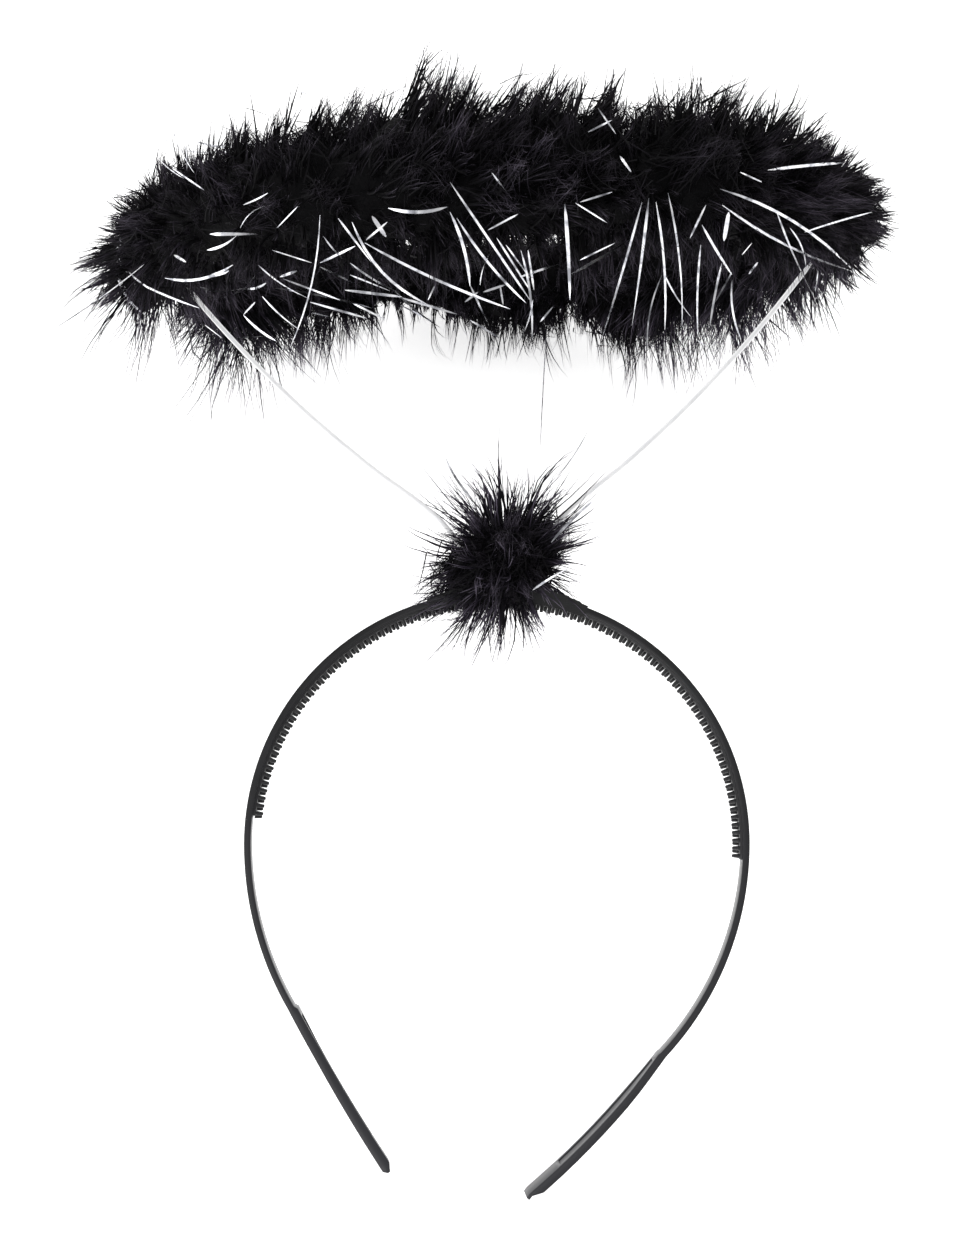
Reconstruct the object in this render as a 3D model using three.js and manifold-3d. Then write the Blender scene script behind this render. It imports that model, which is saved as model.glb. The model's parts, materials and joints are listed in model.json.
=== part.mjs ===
// Halo headband: a comb headband, a wire halo on two struts, and black marabou around both.
// Millimetres. It is built upright, with +X to the wearer's left seen from the front, -Y to the front and +Z up,
// then laid on its back, as it rests on a table: on the two band ends and on the far side of the feather ring.

import * as THREE from "three";
import { mergeVertices } from "three/addons/utils/BufferGeometryUtils.js";
import Module from "manifold-3d";

const wasm = await Module();
wasm.setup();

// Headband: crown arc, a tighter or wider arc down each leg, then a straight end pad
const crown_radius = 63;
const crown_height = 88.75;
const left_leg_radius = 82.5;
const left_leg_turn_deg = 30;
const right_leg_radius = 78;
const right_leg_turn_deg = 43;
const pad_length = 47.5;
const strip_thickness = 1.7;
const strip_depth = 6;

// End pads: thicker than the strip, with a groove in the inner face that stops short of the slanted tip
const pad_root_thickness = 2.3;
const pad_tip_thickness = 2.9;
const pad_step_length = 0.8;
const tip_slant = 2.2;
const tip_corner = 0.9;
const groove_depth = 0.5;
const groove_rim = 1.4;
const groove_start = 3;
const groove_toe = 10;

// Comb: a ridge on the strip's inner face with two staggered rows of tapered teeth
const comb_left_deg = 175;
const comb_right_deg = -3.5;
const ridge_rise = 0.7;
const ridge_depth = 4.6;
const ridge_end_slope = 1.2;
const tooth_reach = 2.6;
const tooth_pitch = 2;
const tooth_row_spacing = 2.6;
const tooth_root_width = 1.15;
const tooth_tip_width = 0.7;

// Wires: the halo ring, and the two struts whose feet lie side by side on the crown
const wire_diameter = 1.5;
const ring_radius = 84.5;
const ring_height = 239.5;
const ring_roll_deg = 2;
const foot_centre = 1.5;
const foot_length = 11;

// Wrap that holds the foot on the crown
const wrap_thickness = 0.8;
const wrap_depth_thickness = 0.9;
const wrap_length = 40;
const wrap_centre = 2.5;
const wrap_hump_slope = 2.5;

// Marabou: how far the feathers reach from the wire, and the tuft's place and size
const fur_reach = 20;
const fur_rest_reach = 14.8;
const lock_count = 144;
const lock_width = 15;
const tuft_radius = 15.5;
const tuft_centre = 2.75;
const tuft_lift = 7.75;
const tuft_lock_count = 40;
const tuft_lock_width = 9.5;

// Shares of the reach, for the body that the locks stand on, its lumps, and a lock's root and tip
const body_share = 0.73;
const lump_share = 0.07;
const root_share = 0.28;
const tip_share = 1.02;
const tip_spread = 0.22;
const width_spread = 0.2;
const lean_share = 0.45;
const tuft_channel_deg = 60;

// Gap between two pieces that touch on the real thing
const gap = 0.3;

// Reach of the marabou at stations around the ring, as shares of fur_reach.
// at_deg runs from the right end over the far side (90), the left end (180) and the near side (270).
const FUR_STATIONS = [
  { at_deg: 0, up: 0.8, down: 0.8 },
  { at_deg: 20, up: 0.85, down: 0.95 },
  { at_deg: 40, up: 0.85, down: 1.2 },
  { at_deg: 55, up: 0.85, down: 1.25 },
  { at_deg: 72, up: 0.85, down: 1 },
  { at_deg: 90, up: 0.85, down: 0.8 },
  { at_deg: 105, up: 0.85, down: 0.72 },
  { at_deg: 118, up: 0.85, down: 0.82 },
  { at_deg: 130, up: 0.85, down: 1.12 },
  { at_deg: 142, up: 0.9, down: 1.3 },
  { at_deg: 158, up: 0.9, down: 1.05 },
  { at_deg: 180, up: 0.85, down: 0.8 },
  { at_deg: 205, up: 0.85, down: 0.85 },
  { at_deg: 234, up: 0.86, down: 0.9 },
  { at_deg: 255, up: 0.95, down: 0.95 },
  { at_deg: 270, up: 1, down: 0.95 },
  { at_deg: 278, up: 0.95, down: 0.9 },
  { at_deg: 285, up: 0.62, down: 0.85 },
  { at_deg: 292, up: 0.95, down: 0.9 },
  { at_deg: 305, up: 1, down: 0.9 },
  { at_deg: 325, up: 0.95, down: 0.85 },
  { at_deg: 342, up: 0.8, down: 0.8 },
];

// A strut's line from its bend on the crown to the ring: shares of its run outwards and of its rise
const STRUT_LINE = [
  { out: 0.2, rise: 0.215 },
  { out: 0.4, rise: 0.37 },
  { out: 0.65, rise: 0.595 },
  { out: 0.895, rise: 0.863 },
];

// Facets
const ARC_SEGMENTS = 12;
const RING_SEGMENTS = 48;
const STRUT_STEPS = 20;
const WIRE_SIDES = 6;
const WRAP_SEGMENTS = 3;
const FUR_STEPS = 60;
const FUR_SIDES = 8;

const UP = new THREE.Vector3(0, 0, 1);
const rad = THREE.MathUtils.degToRad;
const wire_radius = wire_diameter / 2;
const inner_radius = crown_radius - strip_thickness;
const crown_top = crown_height + crown_radius;

const material = (color, roughness, metalness = 0) => new THREE.MeshStandardMaterial({ color, roughness, metalness });
const band_plastic = material("#1c1c1e", 0.3);
const wire_plastic = material("#e9e9ec", 0.35);
const wrap_tape = material("#161618", 0.5);
const marabou = material("#131117", 0.9);

// Booleans between closed three.js geometries

function toSolid(geometry) {
  const bare = geometry.clone();
  for (const name of Object.keys(bare.attributes)) {
    if (name !== "position") bare.deleteAttribute(name);
  }
  const merged = mergeVertices(bare, 1e-4);
  return new wasm.Manifold(new wasm.Mesh({
    numProp: 3,
    vertProperties: new Float32Array(merged.attributes.position.array),
    triVerts: new Uint32Array(merged.index.array),
  }));
}

function toGeometry(solid) {
  const { vertProperties, triVerts } = solid.getMesh();
  const geometry = new THREE.BufferGeometry();
  geometry.setAttribute("position", new THREE.BufferAttribute(vertProperties, 3));
  geometry.setIndex(new THREE.BufferAttribute(triVerts, 1));
  const flat = geometry.toNonIndexed();
  flat.computeVertexNormals();
  return flat;
}

const join = (first, ...others) => others.reduce((whole, other) => whole.add(other), first);

// The largest piece of a solid, so that a cut leaves no loose crumbs
function largestPiece(solid) {
  const pieces = solid.decompose();
  return pieces.reduce((best, piece) => (piece.volume() > best.volume() ? piece : best));
}

// Repeatable scatter: the same seed always gives the same run of numbers from 0 to 1
function scatter(seed) {
  let state = seed;
  return () => {
    state = (state * 1664525 + 1013904223) % 4294967296;
    return state / 4294967296;
  };
}

// Shapes are drawn in the band's plane, x across and y up, and this gives them their depth
function extrudeInDepth(shape, depth, curveSegments = ARC_SEGMENTS) {
  const geometry = new THREE.ExtrudeGeometry(shape, { depth, bevelEnabled: false, curveSegments });
  geometry.translate(0, 0, -depth / 2);
  geometry.rotateX(Math.PI / 2);
  return toSolid(geometry);
}

// A stretch of the crown between two radii and two angles
function crownSector(inner, outer, from_deg, to_deg, depth) {
  const middle = (from_deg + to_deg) / 2;
  const shape = new THREE.Shape();
  shape.absarc(0, crown_height, outer, rad(from_deg), rad(middle), false);
  shape.absarc(0, crown_height, outer, rad(middle), rad(to_deg), false);
  shape.absarc(0, crown_height, inner, rad(to_deg), rad(middle), true);
  shape.absarc(0, crown_height, inner, rad(middle), rad(from_deg), true);
  return extrudeInDepth(shape, depth, WRAP_SEGMENTS);
}

const crownPoint = (radius, angle) => new THREE.Vector2(
  radius * Math.cos(angle),
  crown_height + radius * Math.sin(angle),
);

// Angle on the crown of a point that lies a distance to the right of the middle
const crownAngle = (across, radius = crown_radius) => Math.acos(across / radius);

// One leg of the band: its arc, and the straight end pad beyond it. side is -1 on the left and 1 on the right.
function legLine(side, leg_radius, turn_deg) {
  const turn = rad(turn_deg);
  const centre = new THREE.Vector2(side * (crown_radius - leg_radius), crown_height);
  const outward = new THREE.Vector2(side * Math.cos(turn), -Math.sin(turn));
  const along = new THREE.Vector2(-side * Math.sin(turn), -Math.cos(turn));
  const place = (run, inset) => centre.clone()
    .addScaledVector(outward, leg_radius - inset)
    .addScaledVector(along, run);
  const thicknessAt = (run) => THREE.MathUtils.lerp(pad_root_thickness, pad_tip_thickness, run / pad_length);
  return { turn, centre, place, thicknessAt };
}

const left_leg = legLine(-1, left_leg_radius, left_leg_turn_deg);
const right_leg = legLine(1, right_leg_radius, right_leg_turn_deg);

// The end pad's corners, from the strip's inner face to its outer face
function padCorners(leg) {
  const tip_run = pad_length - tip_slant;
  return [
    leg.place(0, strip_thickness),
    leg.place(pad_step_length, leg.thicknessAt(pad_step_length)),
    leg.place(tip_run, leg.thicknessAt(tip_run)),
    leg.place(pad_length, leg.thicknessAt(pad_length) / 2),
    leg.place(pad_length, tip_corner),
    leg.place(pad_length - tip_corner, 0),
  ];
}

function bandOutline() {
  const shape = new THREE.Shape();
  const left_corners = padCorners(left_leg).reverse();
  const right_corners = padCorners(right_leg);
  const left_end = Math.PI + left_leg.turn;
  const right_end = -right_leg.turn;
  left_corners.forEach((corner, i) => (i ? shape.lineTo(corner.x, corner.y) : shape.moveTo(corner.x, corner.y)));
  shape.absarc(left_leg.centre.x, crown_height, left_leg_radius - strip_thickness, left_end, Math.PI, true);
  shape.absarc(0, crown_height, inner_radius, Math.PI, Math.PI / 2, true);
  shape.absarc(0, crown_height, inner_radius, Math.PI / 2, 0, true);
  shape.absarc(right_leg.centre.x, crown_height, right_leg_radius - strip_thickness, 0, right_end, true);
  right_corners.forEach((corner) => shape.lineTo(corner.x, corner.y));
  shape.absarc(right_leg.centre.x, crown_height, right_leg_radius, right_end, 0, false);
  shape.absarc(0, crown_height, crown_radius, 0, Math.PI / 2, false);
  shape.absarc(0, crown_height, crown_radius, Math.PI / 2, Math.PI, false);
  shape.absarc(left_leg.centre.x, crown_height, left_leg_radius, Math.PI, left_end, false);
  return shape;
}

// The groove is cut into the pad's inner face, parallel to it
function padGroove(leg) {
  const last_run = pad_length - groove_toe;
  const start = leg.place(groove_start, leg.thicknessAt(groove_start));
  const end = leg.place(last_run, leg.thicknessAt(last_run));
  const length = start.distanceTo(end);
  const cutter = new THREE.BoxGeometry(length, strip_depth - 2 * groove_rim, 2 * groove_depth);
  const direction = end.clone().sub(start);
  cutter.rotateY(-Math.atan2(direction.y, direction.x));
  cutter.translate((start.x + end.x) / 2, 0, (start.y + end.y) / 2);
  return toSolid(cutter);
}

function combRidge() {
  const overlap = strip_thickness / 3;
  const slope = ridge_end_slope / inner_radius;
  const left = rad(comb_left_deg);
  const right = rad(comb_right_deg);
  const shape = new THREE.Shape();
  const first = crownPoint(inner_radius + overlap, right - slope);
  shape.moveTo(first.x, first.y);
  shape.absarc(0, crown_height, inner_radius + overlap, right - slope, Math.PI / 2, false);
  shape.absarc(0, crown_height, inner_radius + overlap, Math.PI / 2, left + slope, false);
  shape.absarc(0, crown_height, inner_radius - ridge_rise, left, Math.PI / 2, true);
  shape.absarc(0, crown_height, inner_radius - ridge_rise, Math.PI / 2, right, true);
  return extrudeInDepth(shape, ridge_depth);
}

function combTooth(angle, depth_place) {
  const root = inner_radius - ridge_rise / 2;
  const height = tooth_reach - ridge_rise / 2;
  const to_corner = Math.SQRT1_2;
  const tooth = new THREE.CylinderGeometry(tooth_tip_width * to_corner, tooth_root_width * to_corner, height, 4);
  tooth.translate(0, height / 2, 0);
  tooth.rotateX(-Math.PI / 2);
  tooth.translate(0, 0, root);
  tooth.rotateY(Math.PI / 2 - angle);
  tooth.translate(0, depth_place, crown_height);
  return toSolid(tooth);
}

// Angles of the wrap's two ends on the crown
const wrap_right_angle = crownAngle(wrap_centre + wrap_length / 2);
const wrap_left_angle = crownAngle(wrap_centre - wrap_length / 2);

// Two staggered rows of teeth, with none under the wrap
function combTeeth() {
  const pitch_angle = tooth_pitch / inner_radius;
  const span = rad(comb_left_deg - comb_right_deg);
  const count = Math.floor(span / pitch_angle);
  const clear = (tooth_root_width / 2 + gap) / inner_radius;
  const teeth = [];
  for (const row of [-1, 1]) {
    for (let i = 0; i < count; i += 1) {
      const angle = rad(comb_right_deg) + (i + 0.5 + row / 4) * pitch_angle;
      const wrapped = angle > wrap_right_angle - clear && angle < wrap_left_angle + clear;
      if (!wrapped) teeth.push(combTooth(angle, (row * tooth_row_spacing) / 2));
    }
  }
  return teeth;
}

function headband() {
  const strip = join(extrudeInDepth(bandOutline(), strip_depth), combRidge(), ...combTeeth());
  return strip.subtract(padGroove(left_leg)).subtract(padGroove(right_leg));
}

// A closed wire of round section along a curve
function wireAlong(curve, radius, steps) {
  const section = new THREE.Shape();
  section.absarc(0, 0, radius, 0, 2 * Math.PI, false);
  return toSolid(new THREE.ExtrudeGeometry(section, {
    extrudePath: curve,
    steps,
    curveSegments: WIRE_SIDES / 2,
    bevelEnabled: false,
  }));
}

// The middle line of the ring, turned by its roll about the front-to-back axis
const ring_turn = new THREE.Matrix4().makeRotationY(-rad(ring_roll_deg)).setPosition(0, 0, ring_height);
const ringPoint = (angle, radius = ring_radius, lift = 0) => new THREE.Vector3(
  radius * Math.cos(angle),
  radius * Math.sin(angle),
  lift,
).applyMatrix4(ring_turn);

const foot_radius = crown_radius + gap + wire_radius;

// A strut's middle line. side is -1 for the left strut and 1 for the right one. The foot lies along the crown
// from the other side, beside the other strut's foot, bends up, and ends just short of the ring.
function strutCurve(side) {
  const bend_angle = crownAngle(foot_centre, foot_radius);
  const beside = side * (wire_radius + gap / 2);
  const onCrown = (share) => {
    const point = crownPoint(foot_radius, bend_angle + (side * share * foot_length) / foot_radius);
    return new THREE.Vector3(point.x, beside, point.y);
  };
  const bend = onCrown(0);
  const top = ringPoint(side > 0 ? 0 : Math.PI);
  const rising = STRUT_LINE.map(({ out, rise }) => new THREE.Vector3(
    THREE.MathUtils.lerp(bend.x, top.x, out),
    THREE.MathUtils.lerp(beside, 0, rise),
    THREE.MathUtils.lerp(bend.z, top.z, rise),
  ));
  const approach = top.clone().sub(rising.at(-1)).normalize();
  const end = top.addScaledVector(approach, -(wire_radius + gap));
  return new THREE.CatmullRomCurve3([onCrown(1), onCrown(0.5), bend, ...rising, end]);
}

const strut = (side, radius = wire_radius) => wireAlong(strutCurve(side), radius, STRUT_STEPS);

function haloRing(radius = wire_radius) {
  const ring = new THREE.TorusGeometry(ring_radius, radius, WIRE_SIDES, RING_SEGMENTS);
  return toSolid(ring.applyMatrix4(ring_turn));
}

// The ways that the wires take through the feathers and the wrap, wider than the wires by the gap
const strutWays = () => join(strut(-1, wire_radius + gap), strut(1, wire_radius + gap));
const wireWays = () => join(haloRing(wire_radius + gap), strutWays());

// A sleeve around the strip with a hump over the struts' feet
function bindingWrap() {
  const inner = inner_radius - ridge_rise - gap - wrap_thickness;
  const low = crown_radius + gap + wrap_thickness;
  const high = foot_radius + wire_radius + gap + wrap_thickness;
  const depth = strip_depth + 2 * (gap + wrap_depth_thickness);
  const slope = wrap_hump_slope / high;
  const hump_right = crownAngle(foot_centre + foot_length + gap) - slope / 2;
  const hump_left = crownAngle(foot_centre - foot_length - gap) + slope / 2;
  const shape = new THREE.Shape();
  const middle = (wrap_right_angle + wrap_left_angle) / 2;
  shape.absarc(0, crown_height, low, wrap_right_angle, hump_right - slope, false);
  shape.absarc(0, crown_height, high, hump_right, middle, false);
  shape.absarc(0, crown_height, high, middle, hump_left, false);
  shape.absarc(0, crown_height, low, hump_left + slope, wrap_left_angle, false);
  shape.absarc(0, crown_height, inner, wrap_left_angle, middle, true);
  shape.absarc(0, crown_height, inner, middle, wrap_right_angle, true);
  const strip_channel = crownSector(
    inner_radius - ridge_rise - gap,
    crown_radius + gap,
    THREE.MathUtils.radToDeg(wrap_right_angle - slope),
    THREE.MathUtils.radToDeg(wrap_left_angle + slope),
    strip_depth + 2 * gap,
  );
  return extrudeInDepth(shape, depth, WRAP_SEGMENTS).subtract(strip_channel).subtract(strutWays());
}

// Reach of the feathers from the wire at an angle around the ring and an angle around the wire
function furReach(turn, side) {
  const turn_deg = THREE.MathUtils.euclideanModulo(THREE.MathUtils.radToDeg(turn), 360);
  const next_index = FUR_STATIONS.findIndex((station) => station.at_deg > turn_deg);
  const next = next_index < 0 ? { ...FUR_STATIONS[0], at_deg: 360 } : FUR_STATIONS[next_index];
  const last = FUR_STATIONS.at(next_index < 0 ? -1 : next_index - 1);
  const share = THREE.MathUtils.smoothstep(turn_deg, last.at_deg, next.at_deg);
  const up = THREE.MathUtils.lerp(last.up, next.up, share);
  const down = THREE.MathUtils.lerp(last.down, next.down, share);
  return fur_reach * THREE.MathUtils.lerp(down, up, (1 + Math.sin(side)) / 2);
}

// A point off the wire: side 0 points out of the ring and a quarter turn points up
const furPoint = (turn, side, distance) => ringPoint(
  turn,
  ring_radius + distance * Math.cos(side),
  distance * Math.sin(side),
);

// Distance of a body's surface at a reach, lumpy by chance
const bodyReach = (reach, chance) => reach * (body_share + lump_share * (chance() - 0.5));

// The closed lumpy ring that the locks stand on
function furBody() {
  const wobble = scatter(11);
  const positions = [];
  const index = [];
  for (let i = 0; i < FUR_STEPS; i += 1) {
    for (let j = 0; j < FUR_SIDES; j += 1) {
      const turn = (2 * Math.PI * i) / FUR_STEPS;
      const side = (2 * Math.PI * (j + (i % 2) / 2)) / FUR_SIDES;
      positions.push(...furPoint(turn, side, bodyReach(furReach(turn, side), wobble)).toArray());
      const here = i * FUR_SIDES + j;
      const beside = i * FUR_SIDES + ((j + 1) % FUR_SIDES);
      const next_step = ((i + 1) % FUR_STEPS) * FUR_SIDES;
      const shift = i % 2;
      const ahead = next_step + ((j + shift) % FUR_SIDES);
      const ahead_beside = next_step + ((j + 1 + shift) % FUR_SIDES);
      index.push(...(shift ? [here, ahead, beside, beside, ahead, ahead_beside]
        : [here, ahead, ahead_beside, here, ahead_beside, beside]));
    }
  }
  const geometry = new THREE.BufferGeometry();
  geometry.setAttribute("position", new THREE.Float32BufferAttribute(positions, 3));
  geometry.setIndex(index);
  return toSolid(geometry);
}

// One lock: a four sided spike from root to tip
function lockSpike(root, tip, width) {
  const length = root.distanceTo(tip);
  const spike = new THREE.ConeGeometry(width / 2, length, 4);
  spike.translate(0, length / 2, 0);
  const direction = tip.clone().sub(root).normalize();
  spike.applyQuaternion(new THREE.Quaternion().setFromUnitVectors(new THREE.Vector3(0, 1, 0), direction));
  spike.translate(...root.toArray());
  return toSolid(spike);
}

// Angle between one lock and the next, which keeps them from lining up
const golden_angle = Math.PI * (3 - Math.sqrt(5));

// Locks stand all round the wire and lean along it or around it
function furLocks() {
  const chance = scatter(29);
  const locks = [];
  for (let i = 0; i < lock_count; i += 1) {
    const turn = (2 * Math.PI * (i + chance() / 2)) / lock_count;
    const side = golden_angle * i + chance() / 2;
    const reach = furReach(turn, side);
    const lean_along = ((2 * chance() - 1) * lean_share * fur_reach) / ring_radius;
    const lean_around = (2 * chance() - 1) * lean_share;
    const root = furPoint(turn, side, reach * root_share);
    const tip = furPoint(turn + lean_along, side + lean_around, reach * (tip_share + tip_spread * chance()));
    locks.push(lockSpike(root, tip, lock_width * (1 + width_spread * (2 * chance() - 1))));
  }
  return locks;
}

// The tuft: a round core on the crown with locks all round it
const tuft_middle = new THREE.Vector3(tuft_centre, 0, crown_top + tuft_lift);

function tuftBody() {
  const wobble = scatter(5);
  const sphere = new THREE.IcosahedronGeometry(1, 2).deleteAttribute("normal").deleteAttribute("uv");
  const ball = mergeVertices(sphere, 1e-4);
  const places = ball.attributes.position;
  for (let i = 0; i < places.count; i += 1) {
    const place = new THREE.Vector3().fromBufferAttribute(places, i);
    place.multiplyScalar(bodyReach(tuft_radius, wobble)).add(tuft_middle);
    places.setXYZ(i, ...place.toArray());
  }
  return toSolid(ball);
}

function tuftLocks() {
  const chance = scatter(17);
  const locks = [];
  for (let i = 0; i < tuft_lock_count; i += 1) {
    const height = 1 - (2 * (i + 0.5)) / tuft_lock_count;
    const flat = Math.sqrt(1 - height * height);
    const turn = golden_angle * i;
    const outward = new THREE.Vector3(flat * Math.cos(turn), flat * Math.sin(turn), height);
    const lean = new THREE.Vector3(chance() - 0.5, chance() - 0.5, chance() - 0.5);
    const leaning = outward.clone().addScaledVector(lean, lean_share).normalize();
    const root = tuft_middle.clone().addScaledVector(outward, tuft_radius * root_share);
    const tip = tuft_middle.clone().addScaledVector(leaning, tuft_radius * (tip_share + tip_spread * chance()));
    locks.push(lockSpike(root, tip, tuft_lock_width * (1 + width_spread * (2 * chance() - 1))));
  }
  return locks;
}

// Way of the band, its teeth and its wrap through the tuft
function tuftChannel() {
  return crownSector(
    inner_radius - tooth_reach - gap,
    foot_radius + wire_radius + gap + wrap_thickness + gap,
    90 - tuft_channel_deg,
    90 + tuft_channel_deg,
    strip_depth + 2 * (gap + wrap_depth_thickness + gap),
  );
}

// The floor's upward normal in the upright frame, for a tilt back from the band's plane and a roll to one side
const floorNormal = (tilt, roll) => new THREE.Vector3(
  Math.sin(roll),
  -Math.cos(roll) * Math.cos(tilt),
  Math.cos(roll) * Math.sin(tilt),
);

// Height of the feather ring's pressed underside over the upright origin, along the floor's normal
function ringUnderside(normal) {
  const axis = UP.clone().transformDirection(ring_turn);
  const across = Math.sqrt(1 - normal.dot(axis) ** 2);
  return normal.z * ring_height - ring_radius * across - fur_rest_reach;
}

// Height of the lowest corner of a band end
function padUnderside(normal, leg) {
  const heights = padCorners(leg).map((corner) => (
    normal.dot(new THREE.Vector3(corner.x, strip_depth / 2, corner.y))
  ));
  return Math.min(...heights);
}

function bisect(low, high, miss) {
  let from = low;
  let to = high;
  for (let i = 0; i < 50; i += 1) {
    const middle = (from + to) / 2;
    if (Math.sign(miss(middle)) === Math.sign(miss(from))) from = middle;
    else to = middle;
  }
  return (from + to) / 2;
}

// The floor that both band ends and the feather ring touch
function restingFloor() {
  const tiltFor = (roll) => bisect(0, rad(80), (tilt) => {
    const normal = floorNormal(tilt, roll);
    return ringUnderside(normal) - (padUnderside(normal, left_leg) + padUnderside(normal, right_leg)) / 2;
  });
  const roll = bisect(-rad(30), rad(30), (try_roll) => {
    const normal = floorNormal(tiltFor(try_roll), try_roll);
    return padUnderside(normal, left_leg) - padUnderside(normal, right_leg);
  });
  return floorNormal(tiltFor(roll), roll);
}

const floor_normal = restingFloor();
const floor_height = padUnderside(floor_normal, left_leg);

// Turn from the upright frame to the lying one: the floor's normal goes up and the band's plane keeps its heading
function lyingTurn() {
  const forward = UP.clone().addScaledVector(floor_normal, -floor_normal.z).normalize();
  const across = new THREE.Vector3().crossVectors(forward, floor_normal);
  const turn = new THREE.Matrix4().makeBasis(across, forward, floor_normal).transpose();
  return turn.premultiply(new THREE.Matrix4().makeTranslation(0, 0, -floor_height));
}

const lying_turn = lyingTurn();

// Everything below the floor, in the upright frame, which presses the feathers flat where they rest
function belowFloor() {
  const depth = 3 * fur_reach;
  const size = 4 * ring_height;
  const slab = new THREE.BoxGeometry(size, size, depth);
  slab.translate(0, 0, -depth / 2);
  slab.applyMatrix4(lying_turn.clone().invert());
  return toSolid(slab);
}

function featherRing() {
  const whole = join(furBody(), ...furLocks());
  return largestPiece(whole.subtract(wireWays()).subtract(belowFloor()));
}

function featherTuft() {
  const whole = join(tuftBody(), ...tuftLocks());
  return largestPiece(whole.subtract(tuftChannel()).subtract(strutWays()));
}

function piece(name, solid, finish) {
  const mesh = new THREE.Mesh(toGeometry(solid), finish);
  mesh.name = name;
  return mesh;
}

// The upright assembly, laid on the floor with the origin under the middle of its box
const upright = new THREE.Group();
upright.add(
  piece("headband", headband(), band_plastic),
  piece("halo_ring", haloRing(), wire_plastic),
  piece("left_strut", strut(-1), wire_plastic),
  piece("right_strut", strut(1), wire_plastic),
  piece("binding_wrap", bindingWrap(), wrap_tape),
  piece("feather_ring", featherRing(), marabou),
  piece("feather_tuft", featherTuft(), marabou),
);
upright.applyMatrix4(lying_turn);

const halo_headband = new THREE.Group();
halo_headband.name = "halo_headband";
halo_headband.add(upright);
halo_headband.updateMatrixWorld(true);
const box_middle = new THREE.Box3().setFromObject(halo_headband, true).getCenter(new THREE.Vector3());
upright.position.x -= box_middle.x;
upright.position.y -= box_middle.y;

export default halo_headband;
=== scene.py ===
# Halo headband: a moulded comb band, a marabou tuft on its crown, and a wire halo in tinselled marabou.
# Every piece is modelled upright in millimetres, +X right, -Y to the front and +Z up, as the band is worn,
# and then laid on the floor in metres with the frame.

import json
import math

import bmesh
import bpy
import numpy as np
from mathutils import Matrix, Vector


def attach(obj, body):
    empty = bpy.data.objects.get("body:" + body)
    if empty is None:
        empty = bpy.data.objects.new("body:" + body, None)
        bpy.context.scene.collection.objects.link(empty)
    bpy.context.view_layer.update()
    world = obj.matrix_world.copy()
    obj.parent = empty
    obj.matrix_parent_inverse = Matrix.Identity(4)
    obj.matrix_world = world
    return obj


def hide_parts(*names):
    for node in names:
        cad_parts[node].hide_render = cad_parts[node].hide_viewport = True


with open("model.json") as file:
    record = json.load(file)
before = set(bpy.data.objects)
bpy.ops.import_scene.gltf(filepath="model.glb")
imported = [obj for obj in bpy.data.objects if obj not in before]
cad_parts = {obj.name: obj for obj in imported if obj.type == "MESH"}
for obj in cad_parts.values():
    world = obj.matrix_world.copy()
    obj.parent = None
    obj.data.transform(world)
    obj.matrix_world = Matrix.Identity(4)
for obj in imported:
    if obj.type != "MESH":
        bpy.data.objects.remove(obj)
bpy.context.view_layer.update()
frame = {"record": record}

MM = 0.001

# Headband, in millimetres
CROWN_RADIUS = 63
CROWN_HEIGHT = 88.75
STRIP_THICKNESS = 1.7
STRIP_DEPTH = 6
PAD_LENGTH = 47.5
PAD_STEP_LENGTH = 0.8
PAD_TWIST_RUN = 16
GROOVE_DEPTH = 0.35
GROOVE_RIM = 1.15
GROOVE_START = 3
GROOVE_TOE = 10
GROOVE_SPAN = (GROOVE_START - GROOVE_RIM, PAD_LENGTH - GROOVE_TOE + GROOVE_RIM)
EDGE_ROUND = 0.28

# The two legs. A pad's thickness is given at its root and at its end. Its tip starts at a length and goes on
# in steps: how long, and how much is cut on the inner and on the outer side.
LEFT_LEG = {
    "side": -1, "radius": 82.5, "turn_deg": 30, "pad_thickness": (2.3, 2.75), "pad_bow": 0.7,
    "pad_twist_deg": -5, "pad_lift": 0.1, "tip_start": 45.3, "tip_steps": ((1.3, 0.7, 0), (0.9, 0.45, 0.9)),
}
RIGHT_LEG = {
    "side": 1, "radius": 78, "turn_deg": 43, "pad_thickness": (1.95, 2.3), "pad_bow": 1.4,
    "pad_twist_deg": -7, "pad_lift": 0.6, "tip_start": 45.2,
    "tip_steps": ((1.3, 0, 0.6), (1.3, 0, 0.7), (1.3, 0.1, 0.6)),
}

# Comb
COMB_LEFT_DEG = 175
COMB_RIGHT_DEG = -3.5
RIDGE_RISE = 0.7
RIDGE_DEPTH = 4.6
TOOTH_REACH = 2.6
BACK_TOOTH_REACH = 2.25
TOOTH_PITCH = 2
TOOTH_ROW_SPACING = 2.6
TOOTH_ROOT_RADIUS = 0.64
TOOTH_TIP_RADIUS = 0.4

# Wires and the wrap that holds their feet
WIRE_RADIUS = 0.75
STRUT_RADIUS = 0.62
RING_RADIUS = 84.5
RING_HEIGHT = 239.5
RING_ROLL_DEG = 2
FOOT_CENTRE = 1.5
FOOT_LENGTH = 11
WRAP_THICKNESS = 0.8
WRAP_DEPTH_THICKNESS = 0.5
WRAP_UNDER_THICKNESS = 0.15
WRAP_LENGTH = 40
WRAP_CENTRE = 2.5
WRAP_TURN_WIDTH = 3.1
WRAP_END_THICKNESS = 0.2
WRAP_END_TAPER = 6
LAP_RISE = 0.25
GAP = 0.3
STRUT_LINE = ((0.2, 0.215), (0.4, 0.37), (0.65, 0.595), (0.895, 0.863))

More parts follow.
